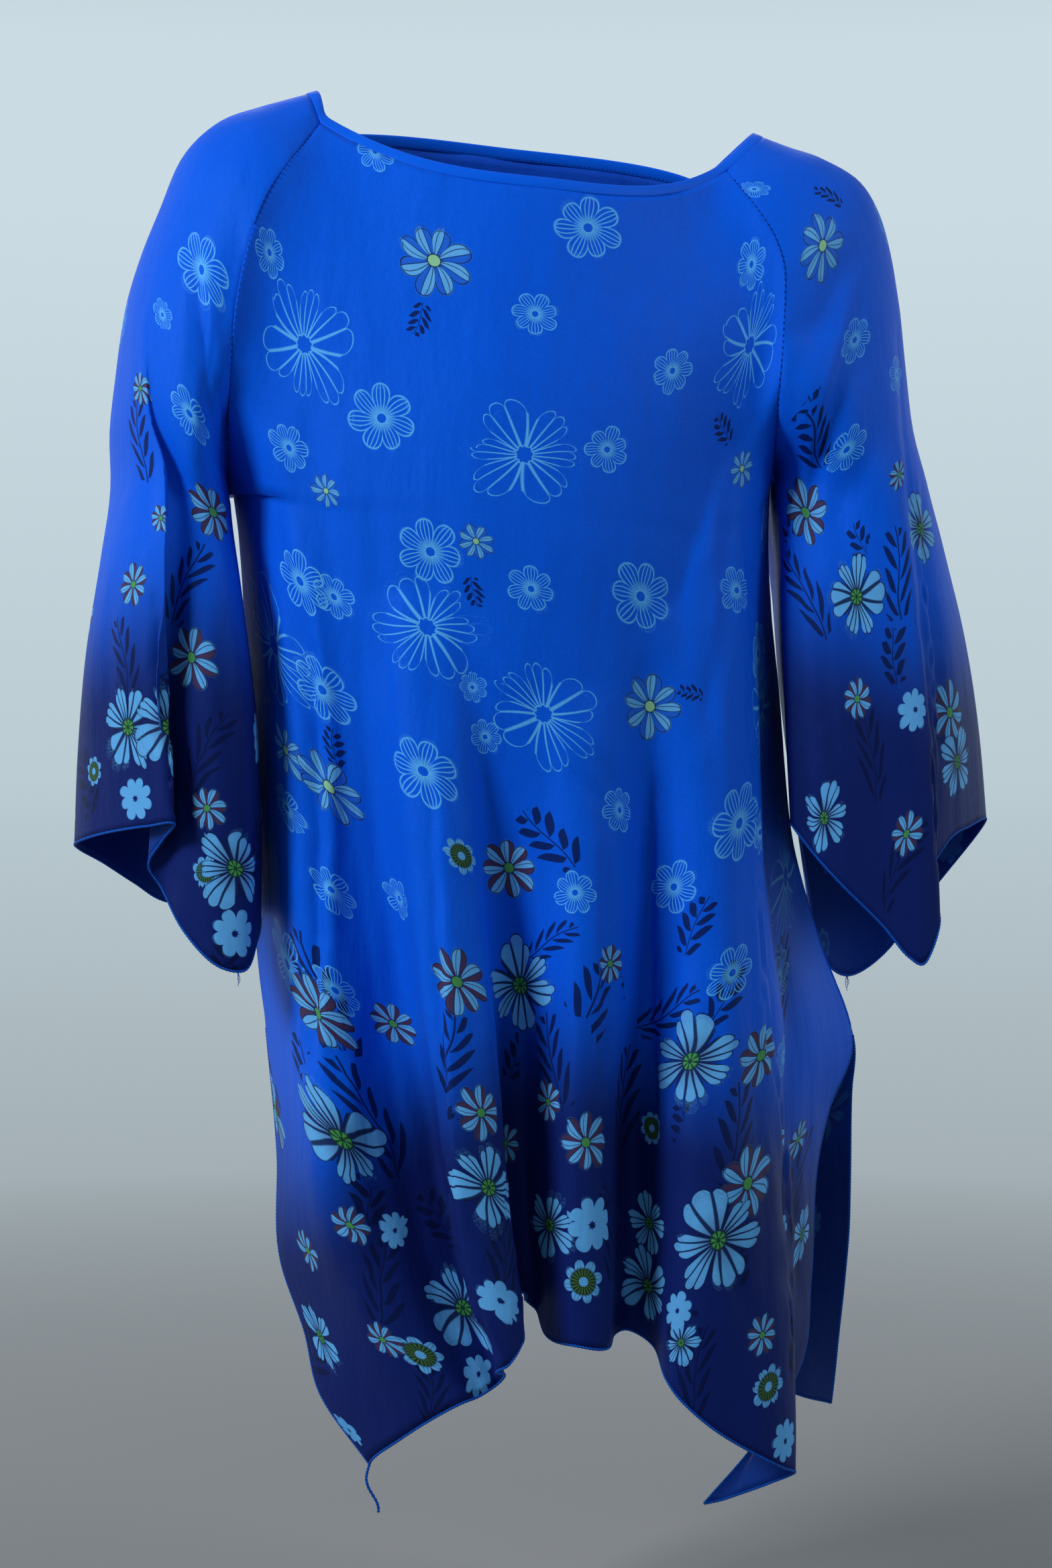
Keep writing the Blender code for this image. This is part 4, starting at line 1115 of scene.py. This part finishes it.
def small_flower(angle, rho, seed, plain):
    """Masks of a flower with round petals: its petals, outlines and lines, and the place across a petal.

    plain is 1 for a flower in line, which has 7 petals, and 0 for a filled one, which has 8.
    """
    petals = plain * -1 + 8
    line = plain * (LINE * 0.18) + LINE * 0.44
    sector = angle * petals
    number = sector.join("ROUND")
    turn = (sector - number) * (2 * math.pi) / petals
    length = random_of(angle.tree, number + seed * 53) * 0.16 + 0.84
    along = rho * turn.join("COSINE") / length
    beside = rho * turn.join("SINE")
    width = (along * 0.72 + 0.30) * PETAL_WIDTH / petals
    reach = (along - PETAL_MIDDLE) / PETAL_HALF
    root = (reach * reach * -1).join("ADD", 1.0, clamp=True).join("SQRT")
    edge = (reach * reach + (beside / width) * (beside / width)).join("SQRT")
    petal = edge.under(1.0, 0.06)
    outline = (edge - 0.95).size().under(line * 4.0, 0.04)
    side = beside / (width * root + 0.001)
    ends = (edge - 0.86) * 0.2
    places = (side + plain * 0.12 - 0.12).size() - (plain * 0.12 + 0.33)
    vein = (places.size() * width * root).either(ends).under(line)
    middle = beside.size().either(ends).under(line) * plain
    return petal, outline, vein.either(middle), side


def large_flower(angle, rho, seed, line):
    """Masks of a flower whose wide petals part into lobes: its petals, outlines and lines between lobes."""
    tree = angle.tree
    wobble = ((angle * (4 * math.pi) + seed * 31).join("SINE")) * 0.24
    sector = angle * LARGE_PETALS + wobble
    number = sector.join("ROUND")
    across = sector - number
    half = rho * -PETAL_GAP + 0.5
    lobes = (across / (half * 2)).join("ADD", 0.5, clamp=True) * (LOBES - 0.001)
    lobe = lobes.join("FLOOR")
    within = (lobes - lobe - 0.5) * 2
    petal_length = random_of(tree, number + seed * 71) * 0.24 + 0.79
    lobe_length = random_of(tree, number * 5 + lobe + seed * 17) * 0.13 + 0.90
    share = across / half
    rounding = within * within
    rim = petal_length * lobe_length * ((share * share) * -0.20 + 1) - rounding * (rounding * 0.07 + 0.05)
    gap = (half - across.size()) * rho * (2 * math.pi / LARGE_PETALS)
    inside = gap.both(rim - rho)
    petal = inside.over(0.0)
    outline = inside.size().under(line)
    between = ((within.size() * -1 + 1) * rho) * half * (2 * math.pi / LARGE_PETALS / LOBES)
    vein = between.under(line * (rho * -0.9 + 1.7)) * petal
    heart = (rho - 0.14 - (angle * (2 * math.pi * 9)).join("SINE") * 0.012).size().under(line)
    return petal * rho.over(0.1), (outline * rho.over(0.12)).either(heart), vein * rho.over(0.14)


def flowers(tree, ground, name):
    """The ground with one layer of printed flowers over it."""
    x, y, code = parts(tree, attribute(tree, name).outputs["Vector"])
    kind = code.join("FLOOR")
    seed = code - kind
    rho = (x * x + y * y).join("SQRT")
    bend = ((x * 3 + seed * 40).join("SINE")) * 0.012
    angle = y.join("ARCTAN2", x) / (2 * math.pi) + bend
    chosen = {word: kind.equals(place + 1) for place, word in enumerate(KINDS)}
    petal, outline, vein, side = small_flower(angle, rho, seed, chosen["line"])
    line = chosen["large"] * (LINE * 0.28) + LINE * 0.42
    big, big_outline, big_vein = large_flower(angle, rho, seed, line)
    hub_ring = (rho - 0.15).size().under(0.022)
    root_fill = rho.under(0.34, 0.16) * petal * 0.5
    small = outline.either(vein).either(root_fill).either(hub_ring) * chosen["line"] * rho.over(0.13)
    drawn = small.either(big_outline.either(big_vein) * chosen["large_line"])
    colour = laid_over(tree, ground, PALE_LINE, drawn * 0.88)
    striped = chosen["striped"].either(chosen["burgundy"])
    filled = (petal * striped.either(chosen["daisy"]).either(chosen["ring"])).either(big * chosen["large"])
    colour = laid_over(tree, colour, PALE_FILL, filled)
    band = side.under(-0.21, 0.08)
    colour = laid_over(tree, colour, BURGUNDY, band * petal * chosen["burgundy"] * 0.95)
    colour = laid_over(tree, colour, STRIPE_BLUE, band * petal * chosen["striped"] * 0.9)
    flush = rho.under(0.40, 0.3) * big * chosen["large"]
    colour = laid_over(tree, colour, BURGUNDY, flush * seed.over(0.45, 0.02) * 0.35)
    dark = (outline.either(vein) * striped.either(vein * chosen["ring"])).either(
        (big_outline.either(big_vein)) * chosen["large"])
    colour = laid_over(tree, colour, DARK_LINE, dark * 0.95)
    rays = ((angle * (2 * math.pi * 20)).join("COSINE")).over(0.1, 0.5)
    wreath = rho.under(0.62, 0.1) * rho.over(0.2) * chosen["ring"]
    colour = laid_over(tree, colour, DARK_GREEN, wreath)
    colour = laid_over(tree, colour, OLIVE, wreath * rays * rho.under(0.56, 0.1))
    colour = laid_over(tree, colour, PALE_FILL, rho.under(0.21) * chosen["ring"])
    green = striped.either(chosen["large"])
    colour = laid_over(tree, colour, DARK_LINE, rho.under(0.175) * green)
    colour = laid_over(tree, colour, PALE_GREEN, rho.under(0.15) * chosen["burgundy"])
    colour = laid_over(tree, colour, HUB, rho.under(0.15) * chosen["striped"])
    colour = laid_over(tree, colour, GREEN, rho.under(0.165) * chosen["large"])
    points = (angle * (2 * math.pi * 8)).join("COSINE").over(-0.3, 0.3)
    rosette = points * rho.under(0.15) * rho.over(0.045)
    colour = laid_over(tree, colour, PALE_GREEN, rosette * chosen["large"])
    colour = laid_over(tree, colour, NAVY, rho.under(0.1) * chosen["daisy"])
    return colour


def leaves(tree, ground, dye):
    """The ground with leafy sprigs and branches printed over it."""
    x, y, code = parts(tree, attribute(tree, "leaf").outputs["Vector"])
    slim = code.over(KINDS.index("branch") + 1, 0.1)
    x = x - (y * 2.6 + code * 7).join("SINE") * 0.08
    there = code.over(0.5, 0.1)
    away = x.size()
    rise = slim * 0.95 + 0.85
    climb = (y - away * rise + x.over(0.0, 0.001) * (LEAF_STEP / 2)) / LEAF_STEP
    leaf_seed = random_of(tree, climb.join("FLOOR") + x.over(0.0, 0.001) * 31 + code * 13)
    within = (climb - climb.join("FLOOR") - 0.5).size() * LEAF_STEP
    length = ((y * y * -0.28) + 0.60) * (leaf_seed * 0.35 + 0.75) * (slim * -0.28 + 1)
    along = (away - 0.03) / length
    width = (along * math.pi).join("SINE") * (slim * -0.03 + 0.17)
    leaf = (within - width).under(0.0, 0.02) * along.over(0.0, 0.02) * along.under(1.0, 0.02)
    leaf = leaf * y.size().under(0.92, 0.02)
    stem = away.under(0.018) * y.size().under(0.98, 0.02)
    share = leaf.either(stem) * there
    colour = laid_over(tree, LEAF, LEAF_DEEP, dye)
    return laid_over(tree, ground, colour, share * 0.92)


def surface(name, values):
    """A new material with some values on its shader, its node tree and its shader."""
    material = bpy.data.materials.new(name)
    material.use_nodes = True
    shader = material.node_tree.nodes["Principled BSDF"]
    for socket, value in values.items():
        shader.inputs[socket].default_value = value
    return material, material.node_tree, shader


def cloth_material(name, faded):
    """Printed jersey: its dye, its print, its knit and its sheen; faded is the wrong side."""
    material, tree, shader = surface(name, {**JERSEY_SURFACE, "Sheen Tint": SHEEN})
    dye = Term(tree, attribute(tree, "dye").outputs["Fac"])
    across, down, _ = parts(tree, attribute(tree, "flat").outputs["Vector"])
    dots = (across * RASTER).join("SINE") * (down * RASTER).join("SINE")
    steps = (dye + dots * 0.16 * (dye * (dye.flipped()) * 4)).join("ADD", 0.0, clamp=True)
    ground = laid_over(tree, ROYAL, NAVY, steps)
    soft = noise(tree, *PATCHES)
    ground = laid_over(tree, ground, ROYAL_LIGHT, soft.over(0.5, 0.5) * dye.flipped() * 0.35)
    ground = laid_over(tree, ground, NAVY, noise(tree, *GRAIN).over(0.5, 0.4) * 0.10)
    colour = leaves(tree, ground, dye)
    colour = flowers(tree, colour, "flower")
    colour = flowers(tree, colour, "second")
    if faded:
        plain = laid_over(tree, REVERSE, REVERSE_DEEP, dye)
        colour = laid_over(tree, plain, colour, 0.2)
    tree.links.new(colour, shader.inputs["Base Color"])
    wale = (across * KNIT).join("SINE")
    knit = wale * 0.5 + (down * KNIT * 0.8 + wale).join("SINE")
    wrinkled = bumped(tree, noise(tree, *WRINKLES), WRINKLE_HEIGHT, 0.55)
    fine_knit = bumped(tree, knit * 0.4 + noise(tree, *FIBRES), KNIT_HEIGHT, 0.4, wrinkled)
    tree.links.new(fine_knit, shader.inputs["Normal"])
    return material


def bumped(tree, height, distance, strength, under=None):
    """A bump's normal, laid over another one."""
    bump = tree.nodes.new("ShaderNodeBump")
    bump.inputs["Strength"].default_value = strength
    bump.inputs["Distance"].default_value = distance
    tree.links.new(height.socket, bump.inputs["Height"])
    if under is not None:
        tree.links.new(under, bump.inputs["Normal"])
    return bump.outputs[0]


def noise(tree, scale, detail, stretch=1.0):
    """Soft noise in the object's own metres; a stretch draws it out up and down."""
    place = tree.nodes.new("ShaderNodeTexCoord")
    drawn_out = tree.nodes.new("ShaderNodeMapping")
    drawn_out.inputs["Scale"].default_value = (1, 1, 1 / stretch)
    node = tree.nodes.new("ShaderNodeTexNoise")
    node.inputs["Scale"].default_value = scale
    node.inputs["Detail"].default_value = detail
    tree.links.new(place.outputs["Object"], drawn_out.inputs["Vector"])
    tree.links.new(drawn_out.outputs["Vector"], node.inputs["Vector"])
    return Term(tree, node.outputs["Fac"])


def thread_material(name, colour, pitch):
    """Twisted sewing thread, with painted shade darkening the grooves of its twist."""
    material, tree, shader = surface(name, THREAD_SURFACE)
    run = Term(tree, attribute(tree, "run").outputs["Fac"])
    twist = (run * (2 * math.pi / pitch)).join("SINE")
    # Darker where the twist's bump is low: painted shade in the grooves of the twist
    painted_groove_shade = laid_over(tree, tuple(0.55 * c for c in colour), colour, twist * 0.5 + 0.5)
    tree.links.new(painted_groove_shade, shader.inputs["Base Color"])
    tree.links.new(bumped(tree, twist, TWIST_HEIGHT, 0.6), shader.inputs["Normal"])
    return material


def tube(route, radius, sides, closed=False):
    """Points, faces and lengths run of a tube along a route; radius may differ at each point."""
    route = np.asarray(route, float)
    if closed:
        ways = unit(np.roll(route, -1, axis=0) - np.roll(route, 1, axis=0))
    else:
        ways = unit(np.gradient(route, axis=0))
    up = np.array([0.13, -0.21, 0.97])
    beside = unit(np.cross(ways, up))
    above = np.cross(beside, ways)
    turns = np.linspace(0, 2 * np.pi, sides, endpoint=False)
    radius = np.broadcast_to(np.asarray(radius, float), (len(route),))
    ring = beside[:, None] * np.cos(turns)[None, :, None] + above[:, None] * np.sin(turns)[None, :, None]
    points = route[:, None] + ring * radius[:, None, None]
    steps = np.linalg.norm(np.diff(route, axis=0), axis=-1)
    run = np.concatenate([[0], np.cumsum(steps)])
    numbers = np.arange(len(route) * sides).reshape(len(route), sides)
    rows = np.concatenate([numbers, numbers[:1]]) if closed else numbers
    nexts = np.roll(rows, -1, axis=1)
    faces = np.stack([rows[:-1], nexts[:-1], nexts[1:], rows[1:]], axis=2).reshape(-1, 4).tolist()
    if not closed:
        faces += [numbers[0, ::-1].tolist(), numbers[-1].tolist()]
    return points.reshape(-1, 3), faces, np.repeat(run, sides)


def joined(name, bits, material):
    """One object of several sets of points and faces."""
    points, faces, runs, start = [], [], [], 0
    for bit_points, bit_faces, bit_run in bits:
        points.append(bit_points)
        faces += [[n + start for n in face] for face in bit_faces]
        runs.append(bit_run)
        start += len(bit_points)
    mesh = bpy.data.meshes.new(name)
    mesh.from_pydata(np.concatenate(points).tolist(), [], faces)
    mesh.attributes.new("run", "FLOAT", "POINT").data.foreach_set("value", np.concatenate(runs))
    mesh.materials.append(material)
    mesh.shade_smooth()
    return placed(name, mesh)


def evenly(route, step, closed=False):
    """Points a step apart along a route."""
    route = np.concatenate([route, route[:1]]) if closed else np.asarray(route)
    lengths = np.linalg.norm(np.diff(route, axis=0), axis=-1)
    run = np.concatenate([[0], np.cumsum(lengths)])
    count = max(int(run[-1] / step), 3)
    at = np.linspace(0, run[-1], count, endpoint=not closed)
    return np.stack([np.interp(at, run, route[:, axis]) for axis in range(3)], axis=-1)


def overlock(name, routes, material):
    """The rolled and overlocked edges along some routes, with a bump for each stitch."""
    bits = []
    for route in routes:
        path = evenly(route, OVERLOCK_STEP)
        beat = np.arange(len(path)) % 2
        bits.append(tube(path, OVERLOCK_RADIUS * (0.82 + 0.3 * beat), OVERLOCK_SIDES))
    return joined(name, bits, material)


def stitches(name, routes, material, stitch):
    """Rows of short stitches along routes of points and outward ways."""
    every, length, radius = stitch
    bits = []
    for route, outward in routes:
        run = np.concatenate([[0], np.cumsum(np.linalg.norm(np.diff(route, axis=0), axis=-1))])
        for start in np.arange(every, run[-1] - every, every):
            at = start + np.linspace(0, length, 5)
            path = np.stack([np.interp(at, run, route[:, axis]) for axis in range(3)], axis=-1)
            out = np.stack([np.interp(at, run, outward[:, axis]) for axis in range(3)], axis=-1)
            arch = np.sin(np.linspace(0, np.pi, 5))[:, None]
            bits.append(tube(path + out * (arch * radius * 1.2 - radius * 0.4),
                             radius * (0.45 + 0.55 * arch[:, 0]), 5))
    return joined(name, bits, material)


def neck_loop(front, back, right, left):
    """Points round the neckline and the way out of the cloth at each, towards the opening."""
    runs = (front[:2], left[:2, ::-1], back[:2, ::-1], right[:2])
    edge = np.concatenate([run[0, :-1] for run in runs])
    below = np.concatenate([run[1, :-1] for run in runs])
    way = unit(edge - below)
    for _ in range(NECK_SMOOTHING):
        way = unit((np.roll(way, 1, axis=0) + 2 * way + np.roll(way, -1, axis=0)) / 4)
    return edge, way


def binding(front, back, right, left, material):
    """The narrow band round the neckline, folded over at its top edge."""
    edge, way = neck_loop(front, back, right, left)
    loop = evenly(edge, BINDING_STEP, closed=True)
    nearest = np.array([np.argmin(np.linalg.norm(edge - p, axis=-1)) for p in loop])
    ways = way[nearest]
    for _ in range(6):
        loop = (np.roll(loop, 1, axis=0) + 4 * loop + np.roll(loop, -1, axis=0)) / 6
        ways = unit(np.roll(ways, 1, axis=0) + 2 * ways + np.roll(ways, -1, axis=0))
    along = unit(np.roll(loop, -1, axis=0) - np.roll(loop, 1, axis=0))
    out = unit(np.cross(ways, along))
    turns = np.linspace(0, 2 * np.pi, BINDING_STEPS, endpoint=False)
    up = np.sign(np.cos(turns)) * np.abs(np.cos(turns)) ** 0.45
    proud = np.sign(np.sin(turns)) * np.abs(np.sin(turns)) ** 0.7
    middle = loop + ways * (BINDING_WIDTH / 2 - BINDING_LAP)
    puckers = 1 + PUCKER * np.sin(np.arange(len(loop)) * PUCKER_TURN)
    half = BINDING_WALL / 2 * puckers
    points = (middle[:, None] + ways[:, None] * (up * (BINDING_WIDTH / 2 + BINDING_LAP))[None, :, None]
              + out[:, None] * (proud[None, :] * half[:, None])[..., None])
    numbers = np.arange(points.shape[0] * BINDING_STEPS).reshape(points.shape[:2])
    nexts = np.roll(numbers, -1, axis=0)
    faces = np.stack([numbers, np.roll(numbers, -1, axis=1), np.roll(nexts, -1, axis=1), nexts], axis=2)
    run = np.repeat(np.arange(len(loop)) * BINDING_STEP, BINDING_STEPS)
    bit = (points.reshape(-1, 3), faces.reshape(-1, 4).tolist(), run)
    band = joined("neck_binding_cloth", [bit], material)
    stitch_line = loop + ways * TOPSTITCH_UP + out * (BINDING_WALL / 2)
    ring = np.concatenate([stitch_line, stitch_line[:1]])
    return band, (ring, np.concatenate([out, out[:1]]))


def plain_jersey(name):
    """The jersey of the neck binding."""
    material, tree, shader = surface(name, JERSEY_SURFACE)
    colour = laid_over(tree, ROYAL, ROYAL_LIGHT, noise(tree, *BINDING_PATCHES).over(0.5, 0.6) * 0.6)
    tree.links.new(colour, shader.inputs["Base Color"])
    knit = bumped(tree, noise(tree, *BINDING_FIBRES), KNIT_HEIGHT, 0.4)
    tree.links.new(knit, shader.inputs["Normal"])
    return material


def hanging_thread(start, way, length, radius, seed):
    """A loose thread that curls down from an edge."""
    random = np.random.default_rng(seed)
    t = np.linspace(0, 1, 26)[:, None]
    drop = np.array([0, 0, -1.0])
    swing = np.sin(t * 5 + random.uniform(0, 6))
    sway = swing * np.array([random.normal(), random.normal() * 0.5, 0]) * 0.06
    path = start + length * (way * t * (1 - t) * 0.8 + drop * t**1.1 + (sway - sway[:1]) * t)
    beat = np.arange(len(path)) % 2
    return tube(path, radius * (0.8 + 0.35 * beat), 6)


def floor_material():
    """A matt studio floor that fades out into the backdrop."""
    material, tree, shader = surface("floor_paint", FLOOR_SURFACE)
    place = tree.nodes.new("ShaderNodeTexCoord")
    x, y, _ = parts(tree, place.outputs["Object"])
    near, far = FLOOR_FADE
    reach = (x * x + y * y).join("SQRT")
    tree.links.new(reach.under((near + far) / 2, far - near).socket, shader.inputs["Alpha"])
    return material


def studio():
    """The floor, the soft lights and the camera of the front view."""
    scene = bpy.context.scene
    scene.view_settings.view_transform = "Standard"
    bpy.ops.mesh.primitive_circle_add(vertices=96, radius=FLOOR_RADIUS, fill_type="NGON",
                                      location=(0, 0, FLOOR_HEIGHT))
    floor = bpy.context.object
    floor.name = "floor"
    floor.data.materials.append(floor_material())
    world = bpy.data.worlds.new("studio")
    scene.world = world
    world.use_nodes = True
    tree = world.node_tree
    way = tree.nodes.new("ShaderNodeTexCoord")
    _, behind, up = parts(tree, way.outputs["Generated"])
    colour = laid_over(tree, LOW_WALL, HORIZON, up.over(-0.16, 0.32))
    colour = laid_over(tree, colour, SKY, up.over(0.1, 0.24))
    colour = laid_over(tree, colour, DOME, up.over(0.42, 0.3))
    tree.links.new(colour, tree.nodes["Background"].inputs["Color"])
    strength = behind.over(-0.1, 0.8) * (1 - FRONT_STRENGTH) + FRONT_STRENGTH
    tree.links.new(strength.socket, tree.nodes["Background"].inputs["Strength"])
    for name, place, size, power in LIGHTS:
        data = bpy.data.lights.new(name, "AREA")
        data.size = size
        data.energy = power
        lamp = placed(name, data)
        lamp.location = place
        aim = np.array(LIT_PLACE) - np.array(place)
        lamp.rotation_mode = "QUATERNION"
        lamp.rotation_quaternion = Vector(aim).to_track_quat("-Z", "Y")
    data = bpy.data.cameras.new("camera")
    camera = placed("camera", data)
    scene.camera = camera
    ahead = Vector((math.sin(VIEW_TURN), math.cos(VIEW_TURN), 0))
    beside = Vector((math.cos(VIEW_TURN), -math.sin(VIEW_TURN), 0))
    camera.location = beside * VIEW_ACROSS - ahead * VIEW_DISTANCE + Vector((0, 0, VIEW_HEIGHT))
    camera.rotation_mode = "QUATERNION"
    camera.rotation_quaternion = ahead.to_track_quat("-Z", "Y")
    data.sensor_width = SENSOR
    data.lens = SENSOR * VIEW_DISTANCE / (PHOTO_ROWS * PIXEL)


def make_pieces():
    """The grids of the four cloth pieces, with their creases, dye, flat places and empty lists for their
    print.
    """
    grids = {"front": panel_grid(FRONT, FINE_PARTS["front"]), "back": panel_grid(BACK, FINE_PARTS["back"]),
             "sleeve_right": sleeve_grid(SLEEVE_RIGHT, CUFF_RIGHT, FINE_PARTS["sleeve"]),
             "sleeve_left": sleeve_grid(SLEEVE_LEFT, CUFF_LEFT, FINE_PARTS["sleeve"])}
    neck = [grids[name].copy() for name in ("front", "back", "sleeve_right", "sleeve_left")]
    creases = {"front": (FRONT_CREASES, FRONT_FOLD_EDGES), "back": (BACK_CREASES, BACK_FOLD_EDGES),
               "sleeve_right": (SLEEVE_RIGHT_CREASES, SLEEVE_RIGHT_FOLD_EDGES),
               "sleeve_left": (SLEEVE_LEFT_CREASES, SLEEVE_LEFT_FOLD_EDGES)}
    pieces = []
    for number, (name, points) in enumerate(grids.items()):
        sleeve = name.startswith("sleeve")
        flip = name in ("back", "sleeve_left")
        normals = grid_normals(points, -1 if flip else 1)
        points = crease(points, normals, creases[name][0], far=name == "back")
        points = turn_under(points, normals, creases[name][1], far=name == "back")
        points = ripples(points, normals, 11 + number)
        points = pull_seams(points, normals)
        if sleeve:
            points[ARM_STEPS:, -1] = points[ARM_STEPS:, 0]
        pieces.append({"name": name, "points": points, "normals": normals, "flat": flat_places(points),
                       "flip": flip, "sleeve": sleeve, "view": in_view(points), "motifs": [],
                       "dye": depth_of_dye(points, sleeve)})
    return pieces, neck


def print_pieces(pieces):
    """Places all the printed motifs."""
    random = np.random.default_rng(PRINT_SEED)
    note_seen(pieces)
    place_seen_motifs(pieces, random)
    for piece in pieces:
        scatter_motifs(piece, random, FLOWER_TRIES, SCATTER, hidden_only=True)
        scatter_motifs(piece, random, LEAF_TRIES, LEAF_SCATTER, hidden_only=False)


def edge_routes(piece):
    """The raw edges of a piece that are overlocked."""
    points = piece["points"]
    if piece["sleeve"]:
        return [points[-1]]
    vent = ARM_STEPS + SIDE_STEPS
    return [points[-1], points[vent:, 0], points[vent:, -1]]


def dress(shell, node):
    """Attaches a cloth piece to the root and hides the solid that it stands for."""
    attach(shell, "root")
    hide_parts(node)


def raglan_stitches(pieces, material):
    """The stitches of the raglan seams, beside each edge of the front and the back."""
    rows = slice(2, ARM_STEPS - 2)
    seams = []
    for piece in pieces[:2]:
        for side in (0, -1):
            out = piece["normals"][rows, side]
            seams.append((piece["points"][rows, side] + out * JERSEY, out))
    return stitches("raglan_stitches", seams, material, SEAM_STITCH)


def thread_ends(pieces, material):
    """The loose threads: a thick one on the front's right corner and fine ones on the sleeves' points."""
    front, _, right, left = (piece["points"] for piece in pieces)
    ends = [hanging_thread(front[-1, 0], np.array([-0.3, -0.1, 0]), 0.030, OVERLOCK_RADIUS, 3)]
    for grid, count in ((right, 3), (left, 4)):
        low = grid[-1][np.argmin(grid[-1][:, 2])]
        for number in range(count):
            way = np.array([0.5 - 0.4 * number, -0.3, 0.1])
            ends.append(hanging_thread(low, way, 0.005 + 0.002 * number, FINE_THREAD, 20 + number))
    return joined("thread_ends", ends, material)


def main():
    """Makes the tunic and its studio."""
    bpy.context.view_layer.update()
    studio()
    pieces, neck = make_pieces()
    print_pieces(pieces)
    printed = cloth_material("printed_jersey", False)
    reverse = cloth_material("printed_jersey_reverse", True)
    thread = thread_material("overlock_thread", THREAD, THREAD_TWIST)
    stitch = thread_material("seam_thread", STITCH, STITCH_TWIST)
    for piece in pieces:
        shell = cloth_piece(piece, piece["name"] + "_cloth", printed, reverse)
        dress(shell, piece["name"])
    band, topstitch = binding(*neck, plain_jersey("binding_jersey"))
    dress(band, "neck_binding")
    sewn = [overlock(piece["name"] + "_overlock", edge_routes(piece), thread) for piece in pieces]
    sewn.append(raglan_stitches(pieces, stitch))
    sewn.append(stitches("neck_topstitch", [topstitch], thread, TOPSTITCH))
    sewn.append(thread_ends(pieces, thread))
    for made in sewn:
        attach(made, "root")


main()
